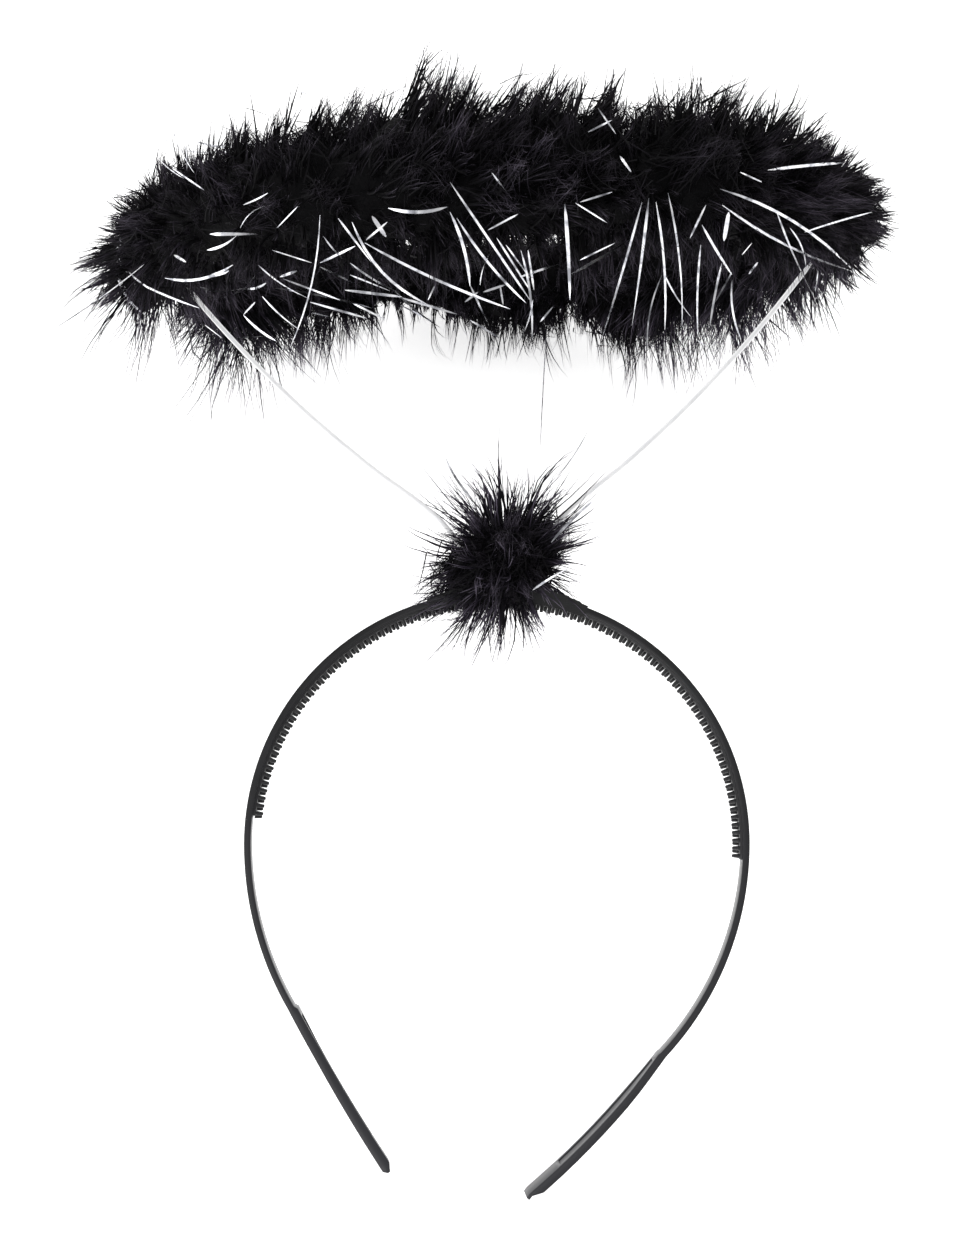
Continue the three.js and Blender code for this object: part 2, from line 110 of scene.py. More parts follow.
# Marabou. The matted cores reach a share of what the feathers do.
FUR_REACH = 20
RING_CORE_SHARE = (0.52, 0.66)
TUFT_CORE_SHARE = 0.62
TUFT_ROOT_REACH = 1.86
TUFT_DEPTH_REACH = 14
TUFT_CENTRE = 2.75
TUFT_LIFT = 7.75
FLOOR_CLEARANCE = 0.35

# Camera, as the photograph was taken: its distance and height, and how far it stands to the left
CAMERA_DISTANCE = 640
CAMERA_YAW_DEG = 1
VIEW_CENTRE = (-4.25, 142.4)
PIXELS_PER_MM = 4
PHOTO_WIDTH = 960
SENSOR_WIDTH = 36

# Stations around the ring, from the right end over the far side (90), the left end (180) and the near side
# (270): degrees, reach upwards and downwards as shares of FUR_REACH, and how far the locks lean right and up
STATIONS = (
    (0, 0.4, 0.34, 0.15, 0.1),
    (12, 0.55, 0.56, 0.1, 0),
    (20, 0.75, 0.62, 0.1, -0.05),
    (31, 0.85, 0.52, 0.05, -0.1),
    (40, 0.85, 0.7, 0.05, -0.1),
    (46, 0.85, 0.4, 0.05, -0.1),
    (53, 0.85, 0.94, 0, -0.1),
    (59, 0.85, 0.98, 0, -0.1),
    (69, 0.85, 1, 0, -0.1),
    (74, 0.85, 0.15, 0, -0.1),
    (79, 0.85, 0.86, 0, -0.1),
    (84, 0.85, 0.68, 0, -0.1),
    (88, 0.85, 0.82, 0, -0.1),
    (94, 0.85, 0.48, 0, -0.1),
    (98, 0.85, 0.44, 0, -0.1),
    (103, 0.85, 0.2, 0, -0.1),
    (108, 0.85, 0.15, 0, -0.1),
    (118, 0.85, 0.3, 0, -0.1),
    (124, 0.85, 0.52, -0.05, -0.1),
    (131, 0.85, 0.42, -0.05, -0.1),
    (137, 0.88, 0.7, -0.1, -0.15),
    (145, 0.9, 1.2, 0.05, -0.15),
    (150, 0.88, 0.7, 0.05, -0.15),
    (156, 0.85, 0.35, 0, -0.15),
    (163, 0.65, 0.32, -0.3, -0.2),
    (171, 0.5, 0.4, -0.45, -0.25),
    (180, 0.34, 0.78, -0.55, -0.3),
    (195, 0.28, 0.74, -0.35, -0.15),
    (203, 0.64, 0.82, -0.05, 0.05),
    (213, 0.72, 0.85, 0.1, 0.15),
    (220, 0.74, 0.85, 0.15, 0.15),
    (226, 0.86, 0.85, 0.2, 0.15),
    (230, 0.84, 0.85, 0.25, 0.15),
    (235, 0.88, 0.85, 0.28, 0.15),
    (239, 0.94, 0.9, 0.3, 0.15),
    (243, 1.06, 0.9, 0.32, 0.15),
    (247, 0.74, 0.9, 0.35, 0.15),
    (251, 0.9, 0.95, 0.35, 0.15),
    (255, 1.22, 0.95, 0.35, 0.15),
    (259, 1.1, 0.95, 0.35, 0.15),
    (263, 0.96, 0.95, 0.35, 0.15),
    (266, 0.98, 0.95, 0.35, 0.15),
    (270, 1.1, 0.95, 0.35, 0.15),
    (277, 0.94, 0.95, 0.35, 0.15),
    (281, 1, 0.92, 0.25, 0.1),
    (285, 0.94, 0.9, 0.15, 0.1),
    (289, 0.42, 0.85, 0, 0),
    (293, 0.94, 0.9, -0.05, 0.1),
    (297, 1.3, 0.9, 0.05, 0.1),
    (301, 1.1, 0.9, 0.2, 0.1),
    (307, 0.62, 0.9, 0.25, 0.1),
    (310, 0.92, 0.9, 0.3, 0.1),
    (315, 0.85, 0.88, 0.33, 0.1),
    (321, 0.68, 0.85, 0.35, 0.1),
    (327, 0.56, 0.83, 0.35, 0.1),
    (335, 0.44, 0.78, 0.3, 0.05),
    (347, 0.34, 0.52, 0.2, 0.05),
)
STATION_TABLE = np.array(STATIONS)

# How far loose wisps hang below the rest of the marabou: degrees round the ring, and millimetres
HANGING = (
    (0, 6), (15, 8), (25, 17), (46, 25), (54, 16), (65, 11), (88, 6), (103, 10), (115, 9), (124, 16),
    (131, 16), (138, 20), (145, 21), (150, 15), (154, 4), (163, 5), (172, 13), (182, 18), (196, 12),
    (210, 3), (260, 2), (345, 3),
)
HANGING_TABLE = np.array(HANGING)

# The tuft's outline as seen from the front: degrees from the right end over the top, and millimetres
TUFT_OUTLINE = (
    (0, 14), (15, 16.5), (30, 20.5), (43, 25), (53, 19), (64, 13.5), (90, 10.5), (136, 10.5), (150, 14),
    (173, 18), (186, 23), (206, 26), (242, 17.5), (270, 12.5), (300, 13.5), (330, 14),
)
TUFT_OUTLINE_TABLE = np.array(TUFT_OUTLINE)

# Tinsel seen from the front, in millimetres from the middle of the view: start and end across and up,
# how far the middle bows off the straight line, and the strand's width as a share of TINSEL_WIDTH
FRONT_TINSEL = (
    (-77, 115.1, -69, 109.6, 0, 0.7), (-59.2, 105.9, -53, 108.9, 0.2, 0.6),
    (-60, 100.1, -51, 105.9, -1.8, 0.6), (-50.8, 100.1, -45.5, 105.6, 0, 0.5),
    (-67.5, 98.6, -55.5, 98.6, 0, 1.6), (-68.2, 94.6, -60.5, 98.6, 0.8, 1.2),
    (-76.5, 93.4, -73.5, 91.6, 0, 1.1), (-78.8, 87.6, -61.8, 90.9, 2, 1.1),
    (-67.5, 88.1, -62.8, 89.4, 0, 1.6), (-70, 85.4, -59.2, 85.1, 1, 1),
    (-58.2, 84.9, -53.5, 86.4, 0.5, 0.9), (-52, 94.6, -42, 91.4, 0, 0.5),
    (-55.5, 90.9, -42.5, 82.4, 0.8, 0.9), (-50, 87.9, -45.8, 89.4, 0, 1),
    (-51.2, 85.1, -27, 80.1, -0.5, 1), (-49.2, 87.4, -35, 82.1, 0, 0.7),
    (-54.5, 83.1, -45, 74.6, 0.5, 0.9), (-56.2, 81.6, -59.2, 78.4, 0, 0.9),
    (-59.2, 78.4, -51, 71.9, 0.5, 0.9), (-61.2, 72.4, -54.5, 73.1, 0, 0.6),
    (-40, 103.4, -47.5, 70.1, -1.8, 0.6), (-68.8, 75.9, -64.5, 72.6, 0, 0.6),
    (-35.5, 102.6, -27.2, 91.6, 0, 1.1), (-32, 101.6, -13, 80.9, 3, 1.1),
    (-40, 91.4, -31.2, 95.6, 0, 0.9), (-39.2, 98.1, -27, 87.6, 1.2, 0.8),
    (-40, 90.4, -26.8, 84.1, 0, 0.9), (-42.5, 81.6, -28.5, 77.6, 0, 0.9),
    (-42, 78.9, -37.5, 77.9, 0, 0.6), (-28.8, 96.4, 7.5, 79.9, 1, 1.1),
    (-27, 103.1, -23.5, 97.9, 0, 1.6), (-23.2, 101.6, -28.5, 97.1, 0, 0.8),
    (-23, 105.1, -8.2, 105.4, 1.2, 1.3), (-7.5, 111.6, 12.5, 82.1, 0, 1),
    (3, 113.9, 8.2, 107.1, 0, 0.9), (9.5, 103.6, 2, 99.6, 0, 0.8), (-7.5, 104.1, -2.5, 85.6, -1, 1.3),
    (-5.8, 102.6, 11.5, 81.4, 1, 1), (-2.5, 85.9, 1.8, 76.6, 0, 0.8), (4.2, 97.6, 12.8, 84.1, 0, 0.8),
    (6.5, 95.9, 12.5, 87.6, 0, 0.7), (10.2, 94.6, 13, 72.1, -1, 0.9), (12, 94.6, 13.5, 84.6, 0, 0.8),
    (10, 87.9, 19.5, 91.1, 0, 1), (0.8, 84.1, 6.2, 85.9, 0, 0.9), (5, 85.9, 5.8, 80.9, 0, 0.7),
    (0, 85.9, 3.5, 95.1, -0.8, 0.6), (-13, 82.1, -11.2, 85.9, 0, 0.6),
    (-32.5, 91.4, -20.5, 84.1, 0.5, 0.8), (-32.5, 88.4, -22.5, 84.4, 0, 0.8),
    (-33.8, 84.6, -19.5, 82.9, 0, 1.1), (-20.5, 82.9, -5.8, 78.6, 0, 0.9),
    (-32, 81.4, -24, 77.4, 0, 0.8), (-21.5, 84.6, -9.8, 75.1, 0.5, 0.9),
    (-20, 80.9, -12, 76.9, 0, 0.7), (-2.5, 77.1, 5.2, 72.4, 0, 0.8), (-3.8, 81.6, -0.5, 84.1, 0, 0.9),
    (13.2, 82.1, 8, 69.1, -1, 0.7), (15, 76.6, 18.2, 80.4, 0, 0.7),
    (21.2, 106.1, 22.5, 82.1, -0.2, 1.5), (35, 118.1, 37.8, 114.1, 0, 1),
    (25, 106.6, 33, 109.1, 0, 0.7), (23.8, 106.4, 31.8, 101.4, 0, 0.6),
    (40.5, 106.6, 30.5, 72.6, -0.2, 1), (42.2, 107.6, 38, 75.6, -0.2, 1.3),
    (44, 106.6, 46.2, 74.6, -1, 1), (47, 108.9, 50.5, 74.6, -1.2, 1),
    (22.8, 88.6, 38, 97.6, 0.2, 1.3), (25, 92.1, 33.8, 96.4, 0, 0.7),
    (45.8, 89.1, 53, 77.6, 0.5, 0.9), (45.5, 88.4, 41.8, 69.6, 1.2, 0.6),
    (56.5, 105.9, 52.5, 97.6, 0, 0.8), (55.5, 100.9, 63, 88.4, 0.2, 1),
    (55.2, 95.9, 54.5, 72.6, 0.5, 0.9), (62.2, 104.1, 61, 96.9, 0, 1.6),
    (60.5, 91.6, 57.5, 75.9, 0.2, 0.9), (63, 89.1, 58.8, 81.6, 0, 0.7),
    (63, 87.1, 65.2, 72.4, 1, 0.8), (69.5, 91.6, 67.2, 88.6, 0, 0.8),
    (60, 109.9, 93.8, 89.1, -2.8, 1.1), (60.5, 105.9, 93.8, 89.1, 1.8, 1.1),
    (72, 114.6, 90.8, 116.4, -0.2, 1.1), (98, 104.1, 81.2, 99.1, 0.2, 0.7),
    (74.2, 104.1, 83.8, 82.4, 0.5, 0.9), (77.5, 100.1, 81.5, 90.1, -1, 0.9),
    (84.5, 89.1, 83.8, 84.1, 0, 0.6), (65, 114.1, 70.5, 111.6, 0, 0.6),
    (65.5, 93.4, 68, 96.4, 0, 0.5), (27, 124.1, 33, 127.1, 0, 0.7), (29.5, 130.1, 34, 123.6, 0, 0.6),
    (-107, 74.6, -84, 91, 0.5, 0.6), (54.2, 72.1, 58.2, 69.6, 0, 0.5),
    (-78.8, 123.9, -75.5, 113.5, 0.4, 0.5), (-77, 125.1, -71.5, 113.9, 0.5, 0.5),
    (-74.3, 123.4, -73.3, 114.5, -0.4, 0.4),
    (-80, 117, -74, 112.5, 0.3, 0.4),
)


# The way from the upright frame to the lying one

def mount_of(name):
    return next(mount for mount in frame["record"]["mounts"] if mount["name"] == name)


def lying_matrix():
    """Turns upright millimetres into the frame's metres, from where the frame has its head seat and pads."""
    seat = mount_of("head_seat")
    up = -Vector(seat["axis"]).normalized()
    depth = Vector(mount_of("right_pad")["axis"]).cross(Vector(mount_of("left_pad")["axis"]))
    depth = (depth - up * depth.dot(up)).normalized()
    across = depth.cross(up)
    seat_height = CROWN_HEIGHT + CROWN_RADIUS - STRIP_THICKNESS - TOOTH_REACH
    origin = Vector(seat["pos_m"]) - up * seat_height * MM
    turn = Matrix((across, depth, up)).transposed().to_4x4()
    return Matrix.Translation(origin) @ turn @ Matrix.Scale(MM, 4)


LYING = lying_matrix()


def moved(points, matrix):
    """An array of points moved by a 4 x 4 matrix."""
    matrix = np.array(matrix)
    return points @ matrix[:3, :3].T + matrix[:3, 3]


def laid_down(points):
    """Upright millimetre points as lying metre points, pressed flat where they would go into the floor."""
    lying = moved(points, LYING)
    lying[:, 2] = np.maximum(lying[:, 2], FLOOR_CLEARANCE * MM)
    return lying


# Modelling helpers

def deselect_all():
    bpy.ops.object.select_all(action="DESELECT")


def select_only(obj):
    deselect_all()
    obj.select_set(True)
    bpy.context.view_layer.objects.active = obj


def edit(obj):
    select_only(obj)
    bpy.ops.object.mode_set(mode="EDIT")


def leave_edit():
    bpy.ops.object.mode_set(mode="OBJECT")


def select_faces(obj, wanted):
    """In edit mode, selects the faces whose centre and normal pass the test, and nothing else."""
    bpy.ops.mesh.select_mode(type="FACE")
    bpy.ops.mesh.select_all(action="DESELECT")
    mesh = bmesh.from_edit_mesh(obj.data)
    for face in mesh.faces:
        face.select = wanted(face.calc_center_median(), face.normal)
    bmesh.update_edit_mesh(obj.data)


def extrude_by(shift):
    bpy.ops.mesh.extrude_region_move(TRANSFORM_OT_translate={"value": shift})


def spin_selected(centre, turn_deg, steps):
    """Sweeps the selected face round an axis along the band's depth, positive from the left over the top."""
    bpy.ops.mesh.spin(steps=steps, angle=-math.radians(turn_deg), center=centre, axis=(0, 1, 0))


def first_face(width, depth, turn, place):
    """The flat face that a band is swept from, opened for modelling with all of it selected."""
    deselect_all()
    bpy.ops.mesh.primitive_plane_add(size=1)
    face = bpy.context.object
    face.scale = (width, depth, 1)
    face.rotation_euler = (0, turn, 0)
    face.location = place
    bpy.ops.object.transform_apply(location=True, rotation=True, scale=True)
    edit(face)
    bpy.ops.mesh.select_all(action="SELECT")
    return face


def weld():
    """Merges the doubled corners of a swept mesh and turns its faces outwards."""
    bpy.ops.mesh.select_all(action="SELECT")
    bpy.ops.mesh.remove_doubles(threshold=0.001)
    bpy.ops.mesh.normals_make_consistent(inside=False)


def apply_modifiers(obj):
    select_only(obj)
    for modifier in list(obj.modifiers):
        bpy.ops.object.modifier_apply(modifier=modifier.name)


def round_edges(obj, width, segments=2, angle_deg=35):
    bevel = obj.modifiers.new("rounded_edges", "BEVEL")
    bevel.width = width
    bevel.segments = segments
    bevel.limit_method = "ANGLE"
    bevel.angle_limit = math.radians(angle_deg)
    apply_modifiers(obj)


def smooth(obj, angle_deg=40):
    select_only(obj)
    bpy.ops.object.shade_smooth_by_angle(angle=math.radians(angle_deg))


def join_pieces(main, others):
    deselect_all()
    for obj in [main, *others]:
        obj.select_set(True)
    bpy.context.view_layer.objects.active = main
    bpy.ops.object.join()


def finish_piece(obj, name, material, slot, *nodes, lay_down=True):
    """Names a finished piece, lays it on the floor and puts it in the frame."""
    obj.name = name
    obj.data.name = name
    if lay_down:
        obj.data.transform(LYING)
    obj.data.materials.clear()
    obj.data.materials.append(material)
    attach(obj, "root")
    if nodes:
        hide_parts(*nodes)
    return obj


def mesh_points(obj):
    points = np.empty(len(obj.data.vertices) * 3)
    obj.data.vertices.foreach_get("co", points)
    return points.reshape(-1, 3)


def set_mesh_points(obj, points):
    obj.data.vertices.foreach_set("co", points.ravel())
    obj.data.update()


def mesh_from_arrays(name, points, loops, starts):
    """A mesh object from point, corner and face-start arrays."""
    mesh = bpy.data.meshes.new(name)
    mesh.vertices.add(len(points))
    mesh.vertices.foreach_set("co", points.astype(np.float32).ravel())
    mesh.loops.add(len(loops))
    mesh.loops.foreach_set("vertex_index", loops.astype(np.int32))
    mesh.polygons.add(len(starts))
    mesh.polygons.foreach_set("loop_start", starts.astype(np.int32))
    mesh.update(calc_edges=True)
    obj = bpy.data.objects.new(name, mesh)
    bpy.context.scene.collection.objects.link(obj)
    return obj


def copies_joined(obj, matrices):
    """One mesh object with a copy of a small model at each matrix. The model itself is removed."""
    source = obj.data
    points = mesh_points(obj)
    loops = np.empty(len(source.loops), dtype=np.int64)
    source.loops.foreach_get("vertex_index", loops)
    starts = np.empty(len(source.polygons), dtype=np.int64)
    source.polygons.foreach_get("loop_start", starts)
    order = range(len(matrices))
    joined = mesh_from_arrays(
        obj.name + "_copies",
        np.concatenate([moved(points, matrix) for matrix in matrices]),
        np.concatenate([loops + i * len(points) for i in order]),
        np.concatenate([starts + i * len(loops) for i in order]),
    )
    bpy.data.objects.remove(obj)
    return joined


# Materials

def srgb(code):
    """An sRGB hex colour as linear red, green, blue and alpha."""
    channels = [int(code[i:i + 2], 16) / 255 for i in (1, 3, 5)]
    linear = [c / 12.92 if c <= 0.04045 else ((c + 0.055) / 1.055) ** 2.4 for c in channels]
    return (*linear, 1)


def plug(tree, value, socket):
    """Gives a socket a value, or links it from another socket."""
    if isinstance(value, bpy.types.NodeSocket):
        tree.links.new(value, socket)
    else:
        socket.default_value = value


def add_node(material, kind, settings=None, **inputs):
    """Adds a node. Settings are its own properties; inputs are socket values, or sockets to link from."""
    node = material.node_tree.nodes.new(kind)
    for name, value in (settings or {}).items():
        setattr(node, name, value)
    for name, value in inputs.items():
        plug(material.node_tree, value, node.inputs[name.replace("_", " ")])
    return node


def new_material(name):
    material = bpy.data.materials.new(name)
    material.use_nodes = True
    material.node_tree.nodes.clear()
    return material


def own_place(m):
    return add_node(m, "ShaderNodeTexCoord").outputs["Object"]


def noise(m, place, size, detail, **more):
    """Noise in blotches of about a size in millimetres."""
    node = add_node(m, "ShaderNodeTexNoise", Vector=place, Scale=1 / (size * MM), Detail=detail, **more)
    return node.outputs["Fac"]


def ramp(m, amount, *stops):
    """A colour ramp over an amount, from places and hex colours."""
    node = add_node(m, "ShaderNodeValToRGB", Fac=amount)
    elements = node.color_ramp.elements
    while len(elements) < len(stops):
        elements.new(0.5)
    for element, (place, code) in zip(elements, stops):
        element.position = place
        element.color = srgb(code)
    return node.outputs["Color"]


def mixed(m, amount, first, second):
    """One colour going over into a second one."""
    node = add_node(m, "ShaderNodeMix", {"data_type": "RGBA"}, Factor=amount)
    plug(m.node_tree, first, node.inputs[6])
    plug(m.node_tree, second, node.inputs[7])
    return node.outputs[2]


def mapped(m, amount, low, high, **more):
    return add_node(m, "ShaderNodeMapRange", Value=amount, To_Min=low, To_Max=high, **more).outputs["Result"]


def bump(m, height, strength, depth):
    """A bump, its depth in millimetres."""
    node = add_node(m, "ShaderNodeBump", Height=height, Strength=strength, Distance=depth * MM)
    return node.outputs["Normal"]


def surfaced(m, **inputs):
    """Ends a material in its surface shader."""
    shader = add_node(m, "ShaderNodeBsdfPrincipled", **inputs)
    add_node(m, "ShaderNodeOutputMaterial", Surface=shader.outputs[0])
    return m


def moulded_plastic():
    """Injection moulded black polypropylene: satin and faintly mottled, with a painted sheen that turns it
    greyer towards the two ends.
    """
    m = new_material("injection_moulded_black_polypropylene")
    place = own_place(m)
    skin = noise(m, place, 0.7, 4.0)
    colour = ramp(m, noise(m, place, 14, 3.0), (0.35, "#0e0e10"), (0.65, "#1b1b1e"))
    along = add_node(m, "ShaderNodeSeparateXYZ", Vector=place).outputs["Y"]
    # Painted sheen: the colour turns greyer from the crown towards the two ends, as if the satin plastic
    # reflected more light there.
    painted_sheen = mapped(m, along, 0.0, 1.0, From_Min=-0.02, From_Max=-0.13)
    return surfaced(
        m, Base_Color=mixed(m, painted_sheen, colour, srgb("#2b2b2f")), Roughness=mapped(m, skin, 0.27, 0.4),
        Normal=bump(m, skin, 0.12, 0.05), IOR=1.49, Specular_IOR_Level=0.4,
    )


def milky_coating():
    """Wire coated in clear PVC gone milky: smooth, pale and a little glassy."""
    m = new_material("extruded_milky_pvc_coating")
    cloud = noise(m, own_place(m), 6, 2.0)
    return surfaced(
        m, Base_Color=ramp(m, cloud, (0.3, "#eaeaec"), (0.7, "#f8f8f9")), Roughness=0.28, IOR=1.53,
        Normal=bump(m, cloud, 0.1, 0.1), Coat_Weight=0.3,
    )


def cloth_tape():
    """Black woven cloth tape: matt, with its threads drawn at 0.4 mm so that they show, and painted shade in
    the hollows between them.
    """
    m = new_material("woven_black_cloth_tape")
    place = own_place(m)
    thread = math.tau / (20 * 0.4 * MM)
    weave = add_node(m, "ShaderNodeMath", {"operation": "MULTIPLY"})
    for i, way in enumerate("XY"):
        wave = add_node(m, "ShaderNodeTexWave", {"bands_direction": way}, Vector=place, Scale=thread)
        plug(m.node_tree, wave.outputs["Fac"], weave.inputs[i])
    height = weave.outputs["Value"]
    return surfaced(
        # The colour follows the weave's height, so the hollows between threads are painted darker than their
        # tops: painted shade.
        m, Base_Color=ramp(m, height, (0.0, "#0b0b0d"), (1.0, "#19191b")), Roughness=0.7,
        Normal=bump(m, height, 0.5, 0.1),
    )


def dyed_down():
    """Dyed marabou down: near black and matt at the quill, painted greyer and purplish towards a barb's tip
    to stand in for light showing through the thin barb.
    """
    m = new_material("dyed_black_marabou_down")
    along = add_node(m, "ShaderNodeAttribute", {"attribute_name": "along"}).outputs["Fac"]
    tint = add_node(m, "ShaderNodeAttribute", {"attribute_name": "tint"}).outputs["Fac"]
    # The ramps paint each barb paler and more purplish towards its tip, more so at a higher tint: painted
    # light showing through the fine barbs.
    dark = ramp(m, along, (0.5, "#050406"), (0.85, "#0b090d"), (1.0, "#1b181f"))
    pale = ramp(m, along, (0.4, "#0e0c12"), (0.7, "#3b3543"), (1.0, "#a59cae"))
    return surfaced(m, Base_Color=mixed(m, tint, dark, pale), Roughness=0.75, Specular_IOR_Level=0.15)


def matted_down():
    """The felted down close to the wire, between the barbs: matt black with a fibrous grain."""
    m = new_material("matted_black_down")
    fibre = noise(m, own_place(m), 1.2, 5.0, Distortion=1.5)
    return surfaced(
        m, Base_Color=ramp(m, fibre, (0.35, "#040405"), (0.7, "#0a090b")), Roughness=0.9,
        Specular_IOR_Level=0.1, Normal=bump(m, fibre, 0.8, 0.6),
    )


def slit_film():
    """Tinsel slit from aluminised polyester film: bright, with a crinkle that breaks up its glints."""
    m = new_material("slit_aluminised_film")
    crinkle = noise(m, own_place(m), 3, 2.0)
    return surfaced(
        m, Base_Color=ramp(m, crinkle, (0.32, "#85868c"), (0.5, "#dcdde3"), (0.65, "#fbfbfd")), Metallic=1.0,
        Roughness=mapped(m, crinkle, 0.15, 0.4), Normal=bump(m, crinkle, 0.3, 0.3),
    )


def pale_floor():
    """A lit table of pale diffusing acrylic, which leaves hardly a shadow."""
    m = new_material("opal_acrylic_lit_table")
    return surfaced(
        m, Base_Color=srgb("#fbfbfb"), Roughness=0.9, Emission_Color=srgb("#ffffff"), Emission_Strength=0.6,
    )


# Headband

def crown_point(radius, angle):
    return Vector((radius * math.cos(angle), 0, CROWN_HEIGHT + radius * math.sin(angle)))


def crown_angle(across, radius=CROWN_RADIUS):
    return math.acos(across / radius)


def leg_lines(leg):
    """A leg's arc centre, and the outward and downward directions at its straight end."""
    turn = math.radians(leg["turn_deg"])
    side = leg["side"]
    centre = Vector((side * (CROWN_RADIUS - leg["radius"]), 0, CROWN_HEIGHT))
    outward = Vector((side * math.cos(turn), 0, -math.sin(turn)))
    along = Vector((-side * math.sin(turn), 0, -math.cos(turn)))
    return centre, outward, along


def pad_thickness(leg, run):
    root, tip = leg["pad_thickness"]
    return root + (tip - root) * run / PAD_LENGTH


def shift_sides(band, leg, thickness, inner_shift, outer_shift):
    """Moves the inner and the outer corners of a pad's selected end face outwards."""
    centre, outward, _ = leg_lines(leg)
    middle = leg["radius"] - thickness / 2
    mesh = bmesh.from_edit_mesh(band.data)
    for vertex in mesh.verts:
        if vertex.select:
            is_inner = (vertex.co - centre).dot(outward) < middle
            vertex.co += outward * (inner_shift if is_inner else outer_shift)
    bmesh.update_edit_mesh(band.data)


def model_pad(band, leg):
    """Extrudes a leg's selected end face into the end pad, one section after another."""
    along = leg_lines(leg)[2]
    last_run = 0
    thickness = STRIP_THICKNESS
    first, last = GROOVE_SPAN
    groove_runs = [first + (last - first) * i / 8 for i in range(9)]
    for run in (PAD_STEP_LENGTH, *groove_runs, leg["tip_start"]):
        extrude_by(along * (run - last_run))
        shift_sides(band, leg, thickness, thickness - pad_thickness(leg, run), 0)
        last_run = run
        thickness = pad_thickness(leg, run)
    for length, inner_cut, outer_cut in leg["tip_steps"]:
        extrude_by(along * length)
        shift_sides(band, leg, thickness, inner_cut, -outer_cut)


def model_groove(band, leg):
    """Insets the pad's long inner face and sinks it."""
    centre, outward, along = leg_lines(leg)
    root = centre + outward * leg["radius"]
    first, last = GROOVE_SPAN

    def is_groove_face(middle, normal):
        run = (middle - root).dot(along)
        return normal.dot(outward) < -0.9 and first < run < last and abs((middle - root).dot(outward)) < 5

    select_faces(band, is_groove_face)
    bpy.ops.mesh.inset(thickness=GROOVE_RIM, depth=0)
    extrude_by(outward * GROOVE_DEPTH)


def bow_pad(band, leg):
    """Bends a pad outwards a little in its middle, twists it and lifts its end, as set from being worn."""
    centre, outward, along = leg_lines(leg)
    root = centre + outward * leg["radius"]
    for vertex in band.data.vertices:
        run = (vertex.co - root).dot(along)
        if run > 0 and abs((vertex.co - root).dot(outward)) < 5:
            share = min(run / PAD_LENGTH, 1)
            begun = min(run / PAD_TWIST_RUN, 1)
            twist = math.radians(leg["pad_twist_deg"]) * begun * begun * (3 - 2 * begun)
            middle = root + along * run - outward * pad_thickness(leg, run) / 2
            turned = Matrix.Rotation(twist, 3, along) @ (vertex.co - middle)
            lift = abs(math.sin(twist)) * pad_thickness(leg, run) / 2
            lift += leg["pad_lift"] * (run / PAD_LENGTH) ** 2
            bow = outward * leg["pad_bow"] * 4 * share * (1 - share)
            vertex.co = middle + turned + Vector((0, -lift, 0)) + bow


def comb_tooth(reach):
    """One tooth, a tapered peg with a rounded tip, standing on the origin."""
    height = reach - RIDGE_RISE / 2
    deselect_all()
    bpy.ops.mesh.primitive_cone_add(
        vertices=8, radius1=TOOTH_ROOT_RADIUS, radius2=TOOTH_TIP_RADIUS, depth=height,
        location=(0, 0, height / 2),
    )
    tooth = bpy.context.object
    edit(tooth)
    select_faces(tooth, lambda middle, normal: normal.z > 0.9)
    bpy.ops.mesh.bevel(offset=TOOTH_TIP_RADIUS * 0.6, segments=2, affect="EDGES")
    leave_edit()
    bpy.ops.object.transform_apply(location=True, rotation=True, scale=True)
    return tooth


def comb_row(row, reach):
    """A row of teeth along the crown. Row -1 is the front one, and the back one is shorter and staggered."""
    inner_radius = CROWN_RADIUS - STRIP_THICKNESS
    pitch = TOOTH_PITCH / inner_radius
    right = math.radians(COMB_RIGHT_DEG)
    places = []
    for i in range(int((math.radians(COMB_LEFT_DEG) - right) / pitch)):
        angle = right + (i + 0.5 + row / 4) * pitch
        root = crown_point(inner_radius - RIDGE_RISE / 2, angle)
        root.y = row * TOOTH_ROW_SPACING / 2
        turn = Matrix.Rotation(-math.pi / 2 - angle, 4, "Y")
        places.append(Matrix.Translation(root) @ turn)
    return copies_joined(comb_tooth(reach), places)


def headband(plastic):
    """The strip swept round crown and legs, its pads, grooves and ridge, then the comb."""
    left_root = Vector((STRIP_THICKNESS / 2 - CROWN_RADIUS, 0, CROWN_HEIGHT))
    band = first_face(STRIP_THICKNESS, STRIP_DEPTH, 0, left_root)
    spin_selected((0, 0, CROWN_HEIGHT), 180, 90)
    spin_selected(leg_lines(RIGHT_LEG)[0], RIGHT_LEG["turn_deg"], 24)
    model_pad(band, RIGHT_LEG)
    select_faces(band, lambda middle, normal: (middle - left_root).length < 0.01 and abs(normal.z) > 0.9)
    spin_selected(leg_lines(LEFT_LEG)[0], -LEFT_LEG["turn_deg"], 18)
    model_pad(band, LEFT_LEG)
    weld()
    model_groove(band, RIGHT_LEG)
    model_groove(band, LEFT_LEG)
    select_faces(band, on_comb_ridge)
    bpy.ops.mesh.inset(thickness=(STRIP_DEPTH - RIDGE_DEPTH) / 2, depth=0)
    bpy.ops.mesh.extrude_region_shrink_fatten(TRANSFORM_OT_shrink_fatten={"value": RIDGE_RISE})
    leave_edit()
    round_edges(band, EDGE_ROUND)
    bow_pad(band, LEFT_LEG)
    bow_pad(band, RIGHT_LEG)
    smooth(band)
    teeth = [comb_row(-1, TOOTH_REACH), comb_row(1, BACK_TOOTH_REACH)]
    for row in teeth:
        smooth(row)
    join_pieces(band, teeth)
    return finish_piece(band, "moulded_comb_band", plastic, "band_plastic", "headband")


